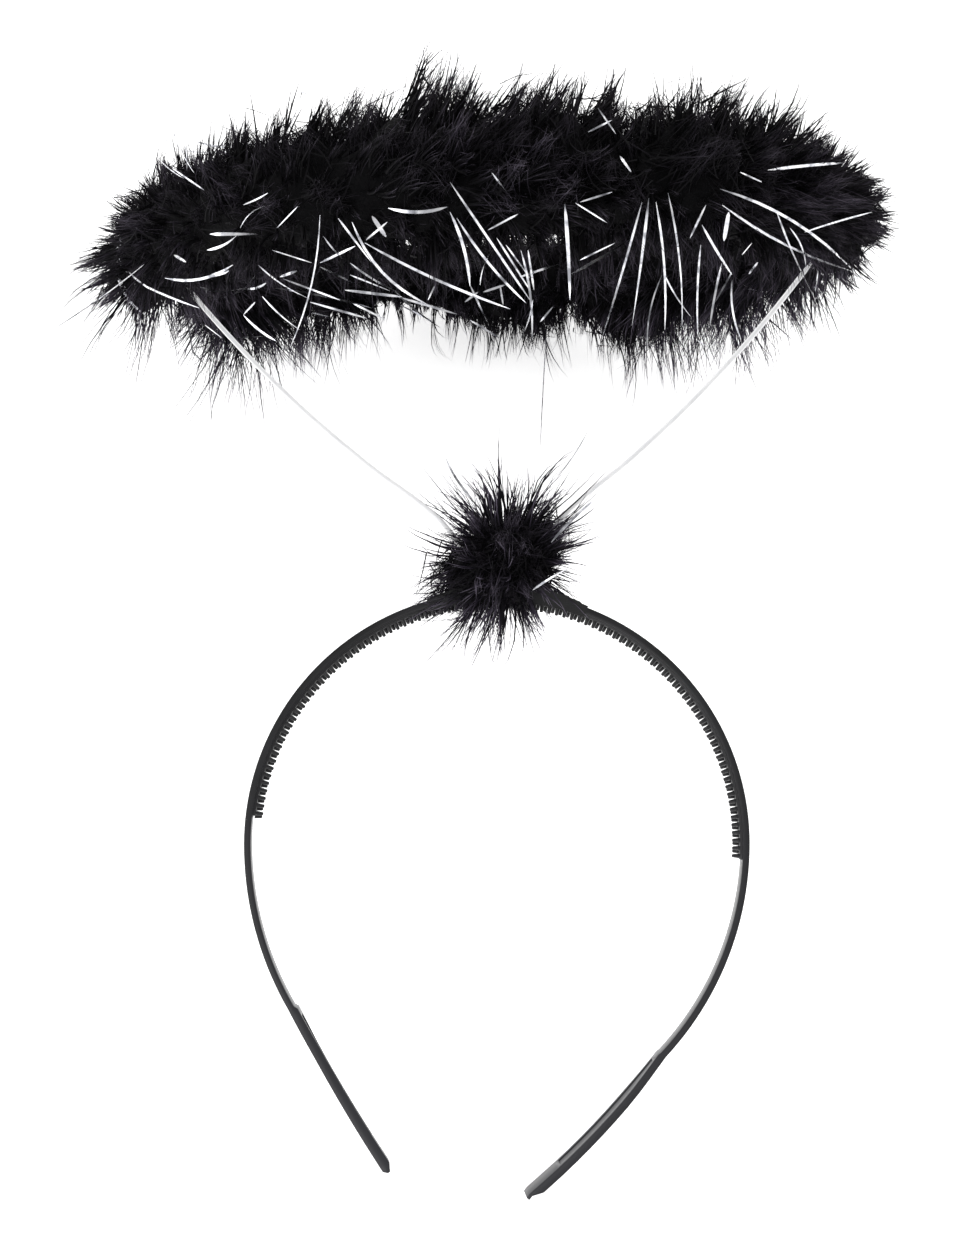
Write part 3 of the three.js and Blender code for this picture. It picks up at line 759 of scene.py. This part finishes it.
def on_comb_ridge(middle, normal):
    """True for the faces on the crown's inner side between the comb's two ends."""
    towards = Vector((middle.x, 0, middle.z - CROWN_HEIGHT))
    angle_deg = math.degrees(math.atan2(towards.z, towards.x))
    within = COMB_RIGHT_DEG < angle_deg < COMB_LEFT_DEG
    return within and normal.dot(towards.normalized()) < -0.9 and abs(normal.y) < 0.1


# Wires

RING_TURN = Matrix.Translation((0, 0, RING_HEIGHT)) @ Matrix.Rotation(-math.radians(RING_ROLL_DEG), 4, "Y")


def wire_along(points, name):
    """A round wire along a smooth line through the points, as a mesh with closed ends."""
    line = bpy.data.curves.new(name, "CURVE")
    line.dimensions = "3D"
    line.bevel_depth = STRUT_RADIUS
    line.bevel_resolution = 4
    line.use_fill_caps = True
    line.resolution_u = 12
    spline = line.splines.new("BEZIER")
    spline.bezier_points.add(len(points) - 1)
    for knot, point in zip(spline.bezier_points, points):
        knot.co = point
        knot.handle_left_type = "AUTO"
        knot.handle_right_type = "AUTO"
    wire = bpy.data.objects.new(name, line)
    bpy.context.scene.collection.objects.link(wire)
    select_only(wire)
    bpy.ops.object.convert(target="MESH")
    return bpy.context.object


def strut(side, name, coating):
    """One strut: its foot along the crown, the bend, and the line up to the ring."""
    foot_radius = CROWN_RADIUS + GAP + WIRE_RADIUS
    bend_angle = crown_angle(FOOT_CENTRE, foot_radius)
    beside = side * (WIRE_RADIUS + GAP / 2)
    foot = []
    for share in (1, 0.5, 0):
        point = crown_point(foot_radius, bend_angle + side * share * FOOT_LENGTH / foot_radius)
        point.y = beside
        foot.append(point)
    bend = foot[-1]
    top = RING_TURN @ Vector((side * RING_RADIUS, 0, 0))
    rising = [
        Vector((bend.x + (top.x - bend.x) * out, beside * (1 - rise), bend.z + (top.z - bend.z) * rise))
        for out, rise in STRUT_LINE
    ]
    end = top - (top - rising[-1]).normalized() * (WIRE_RADIUS + GAP)
    wire = wire_along([*foot, *rising, end], name)
    smooth(wire, 50)
    return finish_piece(wire, name, coating, "wire_coating", "left_strut" if side < 0 else "right_strut")


def halo_wire(coating):
    deselect_all()
    bpy.ops.mesh.primitive_torus_add(
        major_radius=RING_RADIUS, minor_radius=WIRE_RADIUS, major_segments=120, minor_segments=10,
    )
    ring = bpy.context.object
    ring.data.transform(RING_TURN)
    smooth(ring, 50)
    return finish_piece(ring, "coated_halo_wire", coating, "wire_coating", "halo_ring")


def binding_tape(tape):
    """The tape wound round the crown and the struts' feet, each turn lapping over the one before."""
    inner = CROWN_RADIUS - STRIP_THICKNESS - RIDGE_RISE - WRAP_UNDER_THICKNESS
    outer = CROWN_RADIUS + GAP + WRAP_THICKNESS
    hump = 2 * WIRE_RADIUS + GAP
    depth = STRIP_DEPTH + 2 * WRAP_DEPTH_THICKNESS
    right = crown_angle(WRAP_CENTRE + WRAP_LENGTH / 2)
    left = crown_angle(WRAP_CENTRE - WRAP_LENGTH / 2)
    turns = round(WRAP_LENGTH / WRAP_TURN_WIDTH)
    steps_per_turn = 4
    sleeve = first_face(outer - inner, depth, -left, crown_point((inner + outer) / 2, left))
    bpy.ops.mesh.subdivide(number_cuts=3)
    spin_selected((0, 0, CROWN_HEIGHT), math.degrees(left - right), turns * steps_per_turn)
    weld()
    leave_edit()
    foot_left = crown_angle(FOOT_CENTRE - FOOT_LENGTH)
    foot_right = crown_angle(FOOT_CENTRE + FOOT_LENGTH)
    middle_radius = (inner + outer) / 2
    for vertex in sleeve.data.vertices:
        from_centre = vertex.co - Vector((0, vertex.co.y, CROWN_HEIGHT))
        angle = math.atan2(from_centre.z, from_centre.x)
        share = (left - angle) / (left - right)
        offset_out = from_centre.length > middle_radius
        lap = (share * turns + vertex.co.y / depth * 0.5) % 1
        grow = LAP_RISE * lap * (1 if offset_out else 0.3)
        slope = 0.1
        over_feet = min(1, max(0, (foot_left - angle) / slope), max(0, (angle - foot_right) / slope))
        from_end = min(share, 1 - share) * WRAP_LENGTH
        taper = 1 - min(1, max(0, from_end / WRAP_END_TAPER))
        if offset_out:
            round_off = 1 - (2 * vertex.co.y / depth) ** 4 * 0.5
            grow += hump * over_feet * round_off - (GAP + WRAP_THICKNESS - WRAP_END_THICKNESS) * taper
        vertex.co += from_centre.normalized() * (grow if offset_out else -grow)
        vertex.co.y *= 1 + 0.05 * lap - 0.13 * taper
    smooth(sleeve, 30)
    return finish_piece(sleeve, "wound_binding_tape", tape, "wrap_tape", "binding_wrap")


# The view from the front

def camera_axes():
    """The camera's place in the upright frame, and its right, up and forward directions."""
    yaw = math.radians(CAMERA_YAW_DEG)
    forward = Vector((math.sin(yaw), math.cos(yaw), 0))
    place = Vector((VIEW_CENTRE[0], 0, VIEW_CENTRE[1])) - forward * CAMERA_DISTANCE
    right = forward.cross(Vector((0, 0, 1)))
    return place, right, Vector((0, 0, 1)), forward


def view_rays(across, up):
    """The camera's place, and rays to places across and up from the middle of the view, as arrays."""
    place, right, above, forward = (np.array(vector) for vector in camera_axes())
    return place, forward * CAMERA_DISTANCE + across[:, None] * right + up[:, None] * above


# Marabou

def looked_up(turn_deg, table, column=1):
    """A table's values at angles, between the lines that it has."""
    return np.interp(turn_deg, table[:, 0], table[:, column], period=360)


def fur_reach(turn_deg, side):
    """Reach of the feathers at angles round the ring and round the wire, as arrays."""
    up = looked_up(turn_deg, STATION_TABLE, 1)
    down = looked_up(turn_deg, STATION_TABLE, 2)
    return FUR_REACH * (down + (up - down) * (1 + np.sin(side)) / 2)


def ring_points(turn_deg, side, distance):
    """Points off the ring's wire, as an array of upright places."""
    turn = np.radians(turn_deg)
    radius = RING_RADIUS + distance * np.cos(side)
    flat = np.stack([radius * np.cos(turn), radius * np.sin(turn), distance * np.sin(side)], axis=-1)
    return moved(flat, RING_TURN)


def lock_leans(turn_deg):
    """How the locks lean, right and up, at angles round the ring."""
    right = looked_up(turn_deg, STATION_TABLE, 3)
    up = looked_up(turn_deg, STATION_TABLE, 4)
    return np.stack([right, np.zeros_like(right), up], axis=-1)


def unit(vectors):
    return vectors / np.maximum(np.linalg.norm(vectors, axis=-1, keepdims=True), 1e-9)


def strip_corners(count):
    """The corners of the four-sided faces along a strip whose points come in pairs."""
    return [corner for i in range(count) for corner in (2 * i, 2 * i + 1, 2 * i + 3, 2 * i + 2)]


def ribbons(roots, bends, tips, widths, chance, sections):
    """Points, corners, face starts and the share along each ribbon, for flat tapered ribbons bent once."""
    count = len(roots)
    shares = np.linspace(0, 1, sections + 1)
    sideways = unit(np.cross(tips - roots, chance.normal(size=(count, 3))))
    rows = []
    for share in shares[:-1]:
        middle = (1 - share) ** 2 * roots + 2 * share * (1 - share) * bends + share ** 2 * tips
        half = sideways * (widths * (1 - share ** 1.5) / 2)[:, None]
        rows.extend([middle - half, middle + half])
    rows.append(tips)
    points = np.stack(rows, axis=1).reshape(-1, 3)
    per_ribbon = 2 * sections + 1
    corners = strip_corners(sections - 1) + [2 * sections - 2, 2 * sections - 1, 2 * sections]
    first_points = np.arange(count)[:, None] * per_ribbon
    first_corners = np.arange(count)[:, None] * len(corners)
    loops = (first_points + np.array(corners)).ravel()
    face_starts = (first_corners + 4 * np.arange(sections)).ravel()
    along = np.tile(np.append(np.repeat(shares[:-1], 2), 1.0), count)
    return points, loops, face_starts, along, per_ribbon


def feather_piece(name, roots, bends, tips, widths, tints, chance, sections, material, *nodes):
    """One piece of many barbs, with how far along each barb a point is, and the barb's tint."""
    points, loops, starts, along, per_ribbon = ribbons(roots, bends, tips, widths, chance, sections)
    obj = mesh_from_arrays(name, laid_down(points), loops, starts)
    for label, values in (("along", along), ("tint", np.repeat(tints, per_ribbon))):
        attribute = obj.data.attributes.new(label, "FLOAT", "POINT")
        attribute.data.foreach_set("value", values.astype(np.float32))
    return finish_piece(obj, name, material, "marabou", *nodes, lay_down=False)


def locks_of_barbs(lock_roots, lock_tips, reaches, wispy, barbs_per_lock, chance):
    """Barbs gathered in pointed locks, whose tips draw together. Those of a wispy lock keep further apart."""
    count = len(lock_roots) * barbs_per_lock
    roots = np.repeat(lock_roots, barbs_per_lock, axis=0)
    points = np.repeat(lock_tips, barbs_per_lock, axis=0)
    reach = np.repeat(reaches, barbs_per_lock)[:, None]
    loose = np.repeat(wispy, barbs_per_lock)[:, None]
    start = chance.uniform(0.0, 0.5, (count, 1))
    stop = np.minimum(start + chance.uniform(0.35, 0.75, (count, 1)), 1.0)
    stray = loose | (chance.random((count, 1)) < 0.15)
    stop = np.where(stray, stop * chance.uniform(0.85, 1.15, (count, 1)), stop)
    axis = points - roots
    foot_spread = 0.17 * reach * chance.normal(size=(count, 3))
    narrow = np.where(stray, 0.2, 0.12) * reach * (1.15 - np.minimum(stop, 1)) + 0.02 * reach
    tip_spread = narrow * chance.normal(size=(count, 3))
    barb_roots = roots + axis * start + foot_spread
    barb_tips = roots + axis * stop + foot_spread * (1 - np.minimum(stop, 1)) * 0.6 + tip_spread
    curl = np.repeat(chance.normal(size=(len(lock_roots), 3)), barbs_per_lock, axis=0)
    barb_bends = (barb_roots + barb_tips) / 2 + reach * (0.05 * chance.normal(size=(count, 3)) + 0.05 * curl)
    return barb_roots, barb_bends, barb_tips


def lock_lengths(reach, wispy, longest, chance):
    """Lengths of locks that end about at the reach, and past it where they are wispy."""
    past = chance.uniform(1.05, 1.3, len(reach))
    return reach * np.where(wispy, past, chance.uniform(0.82, longest, len(reach)))


def loose_wisps(wisp_roots, wisp_tips, barbs_per_wisp, chance):
    """Long thin barbs in small bundles, which curl together and part towards their tips."""
    count = len(wisp_roots) * barbs_per_wisp
    roots = np.repeat(wisp_roots, barbs_per_wisp, axis=0)
    run = np.repeat(wisp_tips, barbs_per_wisp, axis=0) - roots
    length = np.linalg.norm(run, axis=1, keepdims=True)
    curl = np.repeat(chance.normal(size=(len(wisp_roots), 3)), barbs_per_wisp, axis=0)
    barb_roots = roots + 0.05 * length * chance.normal(size=(count, 3))
    barb_tips = roots + run * chance.uniform(0.7, 1.1, (count, 1))
    barb_tips += 0.07 * length * chance.normal(size=(count, 3))
    barb_bends = (barb_roots + barb_tips) / 2 + length * (0.13 * curl + 0.03 * chance.normal(size=(count, 3)))
    return barb_roots, barb_bends, barb_tips


GOLDEN_ANGLE = math.pi * (3 - math.sqrt(5))
RING_SECTORS = 5
RING_LOCKS = 1150
BARBS_PER_LOCK = 110
RING_WISPS = 1950
FRINGE_WISPS = 200
BARBS_PER_WISP = 7
TUFT_LOCKS = 170
TUFT_BARBS_PER_LOCK = 100
TUFT_WISPS = 190
BARBS_PER_TUFT_WISP = 6
TUFT_WISP_TINT = 0.65


def marabou_ring(down):
    """The boa's barbs, in one piece for each sector of the ring."""
    chance = np.random.default_rng(71)
    order = np.arange(RING_LOCKS)
    turn = 360 * (order + chance.uniform(0, 0.8, RING_LOCKS)) / RING_LOCKS
    side = GOLDEN_ANGLE * order + chance.uniform(0, 0.6, RING_LOCKS)
    reach = fur_reach(turn, side)
    wispy = chance.random(RING_LOCKS) < 0.12
    length = lock_lengths(reach, wispy, 1.04, chance)
    roots = ring_points(turn, side, reach * 0.12)
    tip_turn = turn + chance.normal(0, 1.6, RING_LOCKS)
    tips = ring_points(tip_turn, side + chance.normal(0, 0.22, RING_LOCKS), length)
    tips += lock_leans(turn) * reach[:, None] * chance.uniform(0.3, 1.3, (RING_LOCKS, 1))
    barb_roots, barb_bends, barb_tips = locks_of_barbs(roots, tips, reach, wispy, BARBS_PER_LOCK, chance)
    widths = chance.uniform(0.2, 0.46, len(barb_roots))
    # Wispy locks get paler tints: painted light showing through their looser barbs.
    lock_tints = chance.uniform(0, 0.08, RING_LOCKS) + 0.25 * wispy
    tints = np.repeat(lock_tints, BARBS_PER_LOCK)
    tints += chance.uniform(0, 0.16, len(barb_roots))
    sector_of_lock = np.repeat((turn // (360 / RING_SECTORS)).astype(int) % RING_SECTORS, BARBS_PER_LOCK)
    for sector in range(RING_SECTORS):
        mine = sector_of_lock == sector
        feather_piece(
            f"marabou_ring_{sector + 1}", barb_roots[mine], barb_bends[mine], barb_tips[mine], widths[mine],
            tints[mine], chance, 3, down, "feather_ring",
        )


# Lone barbs at the boa's edge: start and end, across and up from the middle of the view in millimetres,
# and how far from the camera as a share of CAMERA_DISTANCE
LONE_BARBS = (
    (-55.5, 119, -58, 136.1, 0.9), (-60.8, 118, -63.5, 131.5, 0.91), (-57, 122.5, -71.5, 128, 0.91),
    (64, 84, 80, 70.4, 1.08), (54.5, 73, 52.7, 56.9, 1.09), (-51, 76, -38.5, 61.1, 1.1),
    # The first barb on the next line, beside the end of the left strut, stands in for the strut's shaded
    # side: painted shade.
    (-57, 70, -50.8, 57.9, 1.08), (-86.5, 82, -86.2, 70.4, 1), (-77.2, 81, -77.6, 71.7, 1.03),
    (-92, 91, -99, 102.6, 1), (12, 76, 9, 66.5, 1.12),
)
LONE_BARB_BOW = 0.7
LONE_BARB_WIDTH = 0.7
LONE_BARB_TINT = 0.5


def lone_barbs():
    """The lone barbs' starts, middles and ends, as arrays of upright places."""
    across, up, end_across, end_up, share = np.array(LONE_BARBS).T
    middle = ((across + end_across) / 2 + LONE_BARB_BOW, (up + end_up) / 2)
    parts = []
    for view in ((across, up), middle, (end_across, end_up)):
        place, rays = view_rays(*view)
        parts.append(place + rays * share[:, None])
    return parts


def ring_wisps(down):
    """Loose wisps that stand out of the boa all round, and hang long from under its far side."""
    chance = np.random.default_rng(55)
    turn = chance.uniform(0, 360, RING_WISPS)
    side = chance.uniform(0, 2 * math.pi, RING_WISPS)
    turn[:FRINGE_WISPS] = chance.uniform(18, 60, FRINGE_WISPS)
    turn[:FRINGE_WISPS // 2] += 95
    side[:FRINGE_WISPS] = chance.normal(-math.pi / 2, 0.5, FRINGE_WISPS)
    reach = fur_reach(turn, side)
    hang = looked_up(turn, HANGING_TABLE)
    hanging = np.clip(-np.sin(side), 0, 1) ** 2
    near = np.clip(-np.sin(np.radians(turn)), 0, 1) * np.clip(np.cos(side), 0, 1)
    extra = 6 * chance.uniform(0.1, 1.2, RING_WISPS) * (1 - near)
    extra += hang * hanging * chance.uniform(0.4, 1.1, RING_WISPS)
    roots = ring_points(turn, side, reach * 0.6)
    fan = np.stack([chance.normal(0, 0.25, RING_WISPS) * extra * hanging, 0 * turn, 0 * turn], axis=-1)
    tips = ring_points(turn, side, reach + extra) + lock_leans(turn) * (reach * (1 - hanging))[:, None] + fan
    parts = loose_wisps(roots, tips, BARBS_PER_WISP, chance)
    far = np.clip(hang / 15, 0, 1)
    widths = chance.uniform(0.28, 0.65, len(parts[0])) * np.repeat(1 - 0.4 * hanging * far, BARBS_PER_WISP)
    # Wisps that hang long below the boa get paler tints: painted light showing through them.
    tints = np.repeat(0.1 + 0.75 * hanging * far, BARBS_PER_WISP) + chance.uniform(-0.1, 0.2, len(parts[0]))
    lone = lone_barbs()
    parts = [np.concatenate(pair) for pair in zip(parts, lone)]
    widths = np.append(widths, np.full(len(lone[0]), LONE_BARB_WIDTH))
    tints = np.append(tints, np.full(len(lone[0]), LONE_BARB_TINT))
    feather_piece("marabou_ring_wisps", *parts, widths, tints, chance, 5, down, "feather_ring")


TUFT_MIDDLE = np.array([TUFT_CENTRE, 0, CROWN_HEIGHT + CROWN_RADIUS + TUFT_LIFT])


def tuft_reach(outward):
    """How far the tuft stands out each way, from its outline seen from the front."""
    angle = np.degrees(np.arctan2(outward[:, 2], outward[:, 0]))
    depth = np.abs(outward[:, 1])
    return looked_up(angle, TUFT_OUTLINE_TABLE) * (1 - depth) + TUFT_DEPTH_REACH * depth


# The longest wisps of the tuft, seen from the front: degrees as above, and millimetres from its middle
LONG_WISPS = (
    (148, 33), (143, 30), (133, 33), (127, 30), (112, 27), (95, 35), (84, 26), (58, 36), (160, 28), (172, 27),
    (199, 30), (214, 32), (230, 32), (244, 28), (118, 30), (138, 29),
)


def marabou_tuft(down):
    """The tuft's barbs, pointing away from its middle."""
    chance = np.random.default_rng(23)
    order = np.arange(TUFT_LOCKS)
    height = 1 - 2 * (order + 0.5) / TUFT_LOCKS
    flat = np.sqrt(1 - height ** 2)
    turn = GOLDEN_ANGLE * order
    outward = np.stack([flat * np.cos(turn), flat * np.sin(turn), height], axis=-1)
    outward = unit(outward + 0.2 * chance.normal(size=outward.shape))
    middle = TUFT_MIDDLE
    reach = tuft_reach(outward)
    wispy = chance.random(TUFT_LOCKS) < 0.15
    length = lock_lengths(reach, wispy, 1.02, chance)
    roots = middle + outward * TUFT_ROOT_REACH
    tips = middle + outward * length[:, None]
    locks = locks_of_barbs(roots, tips, reach, wispy, TUFT_BARBS_PER_LOCK, chance)
    # Wispy locks, and the loose wisps with TUFT_WISP_TINT, get paler tints: painted light showing through
    # them.
    lock_tints = chance.uniform(0, 0.06, TUFT_LOCKS) + 0.3 * wispy
    away = unit(chance.normal(size=(TUFT_WISPS, 3)) * np.array([1, 0.8, 1.1]))
    wisp_reach = tuft_reach(away)
    longest = wisp_reach + chance.uniform(5, 19, TUFT_WISPS) * (0.4 + 0.6 * np.abs(away[:, 2]))
    angles, lengths = np.array(LONG_WISPS).T
    angles = np.radians(angles)
    away[:len(LONG_WISPS)] = np.stack([np.cos(angles), 0 * angles, np.sin(angles)], axis=-1)
    longest[:len(LONG_WISPS)] = lengths
    wisp_roots = middle + away * wisp_reach[:, None] * 0.5
    wisps = loose_wisps(wisp_roots, middle + away * longest[:, None], BARBS_PER_TUFT_WISP, chance)
    parts = [np.concatenate(pair) for pair in zip(locks, wisps)]
    widths = np.append(chance.uniform(0.18, 0.42, len(locks[0])), chance.uniform(0.3, 0.66, len(wisps[0])))
    tints = np.append(np.repeat(lock_tints, TUFT_BARBS_PER_LOCK), np.full(len(wisps[0]), TUFT_WISP_TINT))
    tints += chance.uniform(0, 0.15, len(tints))
    feather_piece("marabou_tuft", *parts, widths, tints, chance, 4, down, "feather_tuft")


def matted_core(matted):
    """The felted down close to the halo wire, which the eye can't see through."""
    deselect_all()
    bpy.ops.mesh.primitive_torus_add(
        major_radius=RING_RADIUS, minor_radius=1, major_segments=160, minor_segments=20,
    )
    core = bpy.context.object
    points = mesh_points(core)
    turn = np.degrees(np.arctan2(points[:, 1], points[:, 0]))
    out = np.hypot(points[:, 0], points[:, 1]) - RING_RADIUS
    side = np.arctan2(points[:, 2], out)
    chance = np.random.default_rng(3)
    reach = fur_reach(turn, side) * chance.uniform(*RING_CORE_SHARE, len(points))
    set_mesh_points(core, laid_down(ring_points(turn, side, reach)))
    smooth(core, 180)
    return finish_piece(core, "matted_ring_core", matted, "marabou", "feather_ring", lay_down=False)


def matted_tuft_core(matted):
    """The felted middle of the tuft."""
    deselect_all()
    bpy.ops.mesh.primitive_ico_sphere_add(subdivisions=4, radius=1)
    core = bpy.context.object
    outward = unit(mesh_points(core))
    set_mesh_points(core, outward * tuft_reach(outward)[:, None] * TUFT_CORE_SHARE + TUFT_MIDDLE)
    smooth(core, 180)
    return finish_piece(core, "matted_tuft_core", matted, "marabou", "feather_tuft")


# Tinsel

TINSEL_WIDTH = 0.54
TINSEL_SECTIONS = 8
TINSEL_SHARES = np.linspace(0, 1, TINSEL_SECTIONS + 1)
TINSEL_AROUND = 150
TINSEL_LIFT = 1.8
MISSED_STEPS = 6


def on_marabou_front(across, up):
    """Places across and up from the middle of the view, on the front of the ring's marabou or beside it."""
    place, rays = view_rays(across, up)
    depths = np.linspace(0.8, 1.0, 161)
    points = place + rays[:, None, :] * depths[None, :, None]
    local = moved(points, RING_TURN.inverted())
    out = np.hypot(local[..., 0], local[..., 1]) - RING_RADIUS
    away = np.hypot(out, local[..., 2])
    turn = np.degrees(np.arctan2(local[..., 1], local[..., 0]))
    reach = fur_reach(turn, np.arctan2(local[..., 2], out)) + TINSEL_LIFT
    inside = away < reach
    missed = np.maximum(away.argmin(axis=1) - MISSED_STEPS, 0)
    first = np.where(inside.any(axis=1), inside.argmax(axis=1), missed)
    return points[np.arange(len(points)), first]


def front_strands():
    """The strands that show from the front, as centre lines on the marabou."""
    shares = TINSEL_SHARES
    lines = []
    for across, up, end_across, end_up, bow, width in FRONT_TINSEL:
        run = np.array([end_across - across, end_up - up])
        normal = np.array([run[1], -run[0]]) / np.linalg.norm(run)
        bowed = (4 * bow * shares * (1 - shares))[:, None] * normal
        flat = np.array([across, up]) + shares[:, None] * run + bowed
        points = on_marabou_front(flat[:, 0], flat[:, 1])
        points[1:-1] = (points[:-2] + 2 * points[1:-1] + points[2:]) / 4
        lines.append((points, width))
    return lines


def strands_around(chance):
    """Strands over the rest of the ring's marabou, lying along its surface with their ends lifting."""
    shares = TINSEL_SHARES
    lines = []
    for _ in range(TINSEL_AROUND):
        turn = chance.uniform(0, 360)
        near = 195 < turn < 350
        side = math.radians(chance.uniform(100, 175) if near else chance.uniform(-70, 110))
        heading = chance.uniform(0, 2 * math.pi)
        length = chance.uniform(14, 34)
        reach = float(fur_reach(np.array(turn), np.array(side)))
        turns = turn + math.degrees(length * math.cos(heading) / RING_RADIUS) * shares
        curved = shares + chance.normal() * shares ** 2 * 0.3
        sides = side + length * math.sin(heading) / (reach * 1.3) * curved
        points = ring_points(turns, sides, fur_reach(turns, sides) * (0.85 + 0.35 * shares ** 2))
        lines.append((points, chance.uniform(0.6, 1.2)))
    return lines


# Strands in the tuft and the loose one above it: start and end across, back and up, in upright millimetres,
# and the width as a share of TINSEL_WIDTH
TUFT_STRANDS = (
    ((12.3, -28, 163), (22.4, -30, 173), 1.2),
    ((7.8, -27, 151.5), (17, -24, 157), 1.2),
    ((14, 78, 192.5), (16.2, 82, 230), 0.5),
    ((14.5, -6, 179.5), (22.5, -4, 191.5), 0.5),
    ((-6, -10, 174), (-13, -8, 185), 1.2),
    ((10, 9, 165), (17, 14, 178), 1.2),
    ((-2, 12, 166), (-9, 16, 177), 1.2),
)


def tuft_strands(chance):
    shares = TINSEL_SHARES[:, None]
    lines = []
    for start, end, width in TUFT_STRANDS:
        bow = chance.normal(size=3) * 1.2 * shares * (1 - shares)
        lines.append((np.array(start) + (np.array(end) - np.array(start)) * shares + bow, width))
    return lines


def ribbon_edges(line, width, chance):
    """The two edges of a flat strand along a centre line, twisting slowly."""
    tangents = unit(np.gradient(line, axis=0))
    across = unit(np.cross(tangents, np.array([0.15, 1, 0.1])))
    other = np.cross(tangents, across)
    shares = TINSEL_SHARES
    twist = chance.uniform(-0.6, 0.6) + chance.uniform(-1.3, 1.3) * shares
    edge = across * np.cos(twist)[:, None] + other * np.sin(twist)[:, None]
    half = (TINSEL_WIDTH * width / 2 * (1 - 0.85 * np.abs(2 * shares - 1) ** 5))[:, None]
    return np.stack([line - edge * half, line + edge * half], axis=1).reshape(-1, 3)


def tinsel_strands(film):
    """All flat bright strands caught in the marabou, as one piece."""
    chance = np.random.default_rng(8)
    lines = front_strands() + strands_around(chance) + tuft_strands(chance)
    points = np.concatenate([ribbon_edges(line, width, chance) for line, width in lines])
    order = np.arange(len(lines))[:, None]
    loops = (order * 2 * (TINSEL_SECTIONS + 1) + np.array(strip_corners(TINSEL_SECTIONS))).ravel()
    starts = np.arange(len(lines) * TINSEL_SECTIONS) * 4
    obj = mesh_from_arrays("tinsel_strands", laid_down(points), loops, starts)
    smooth(obj, 60)
    return finish_piece(obj, "tinsel_strands", film, None, lay_down=False)


# Floor, light and camera

FLOOR_SIZE = 80
SKY_STRENGTH = 0.55
PANEL_AIM = Vector((0, 0, 0.1))
PANELS = {
    "left_panel": ((-0.9, 0.1, 0.5), 0.9, 6),
    "right_panel": ((0.9, 0.3, 0.6), 0.9, 4),
    "far_panel": ((0.1, 1.1, 0.7), 0.9, 6),
    "near_panel": ((-0.3, -0.9, 0.7), 0.7, 3),
}


def floor_and_light():
    """A pale lit table for a floor, a dim even sky, and large soft panels round the object."""
    deselect_all()
    bpy.ops.mesh.primitive_plane_add(size=FLOOR_SIZE, location=(0, 0, 0))
    floor = bpy.context.object
    floor.name = "floor"
    floor.data.materials.append(pale_floor())
    world = bpy.data.worlds.new("pale_studio")
    world.use_nodes = True
    world.node_tree.nodes["Background"].inputs["Color"].default_value = srgb("#ffffff")
    world.node_tree.nodes["Background"].inputs["Strength"].default_value = SKY_STRENGTH
    bpy.context.scene.world = world
    for name, (place, size, watts) in PANELS.items():
        bpy.ops.object.light_add(type="AREA", location=place)
        light = bpy.context.object
        light.name = name
        light.data.shape = "SQUARE"
        light.data.size = size
        light.data.energy = watts
        light.rotation_euler = (PANEL_AIM - Vector(place)).to_track_quat("-Z", "Y").to_euler()
    bpy.context.scene.view_settings.view_transform = "Standard"


def camera():
    """The photograph's camera, level with the middle of the upright band and a little to its left."""
    place, right, above, forward = camera_axes()
    turn = LYING.to_3x3() @ Matrix((right, above, -forward)).transposed() * (1 / MM)
    bpy.ops.object.camera_add()
    view = bpy.context.object
    view.matrix_world = Matrix.Translation(LYING @ place) @ turn.to_4x4()
    view.data.sensor_fit = "HORIZONTAL"
    view.data.sensor_width = SENSOR_WIDTH
    view.data.lens = SENSOR_WIDTH * PIXELS_PER_MM * CAMERA_DISTANCE / PHOTO_WIDTH
    view.data.clip_start = 0.01
    bpy.context.scene.camera = view


deselect_all()
camera()
floor_and_light()
plastic = moulded_plastic()
coating = milky_coating()
down = dyed_down()
matted = matted_down()
headband(plastic)
halo_wire(coating)
strut(-1, "coated_left_strut", coating)
strut(1, "coated_right_strut", coating)
binding_tape(cloth_tape())
matted_core(matted)
matted_tuft_core(matted)
marabou_ring(down)
ring_wisps(down)
marabou_tuft(down)
tinsel_strands(slit_film())
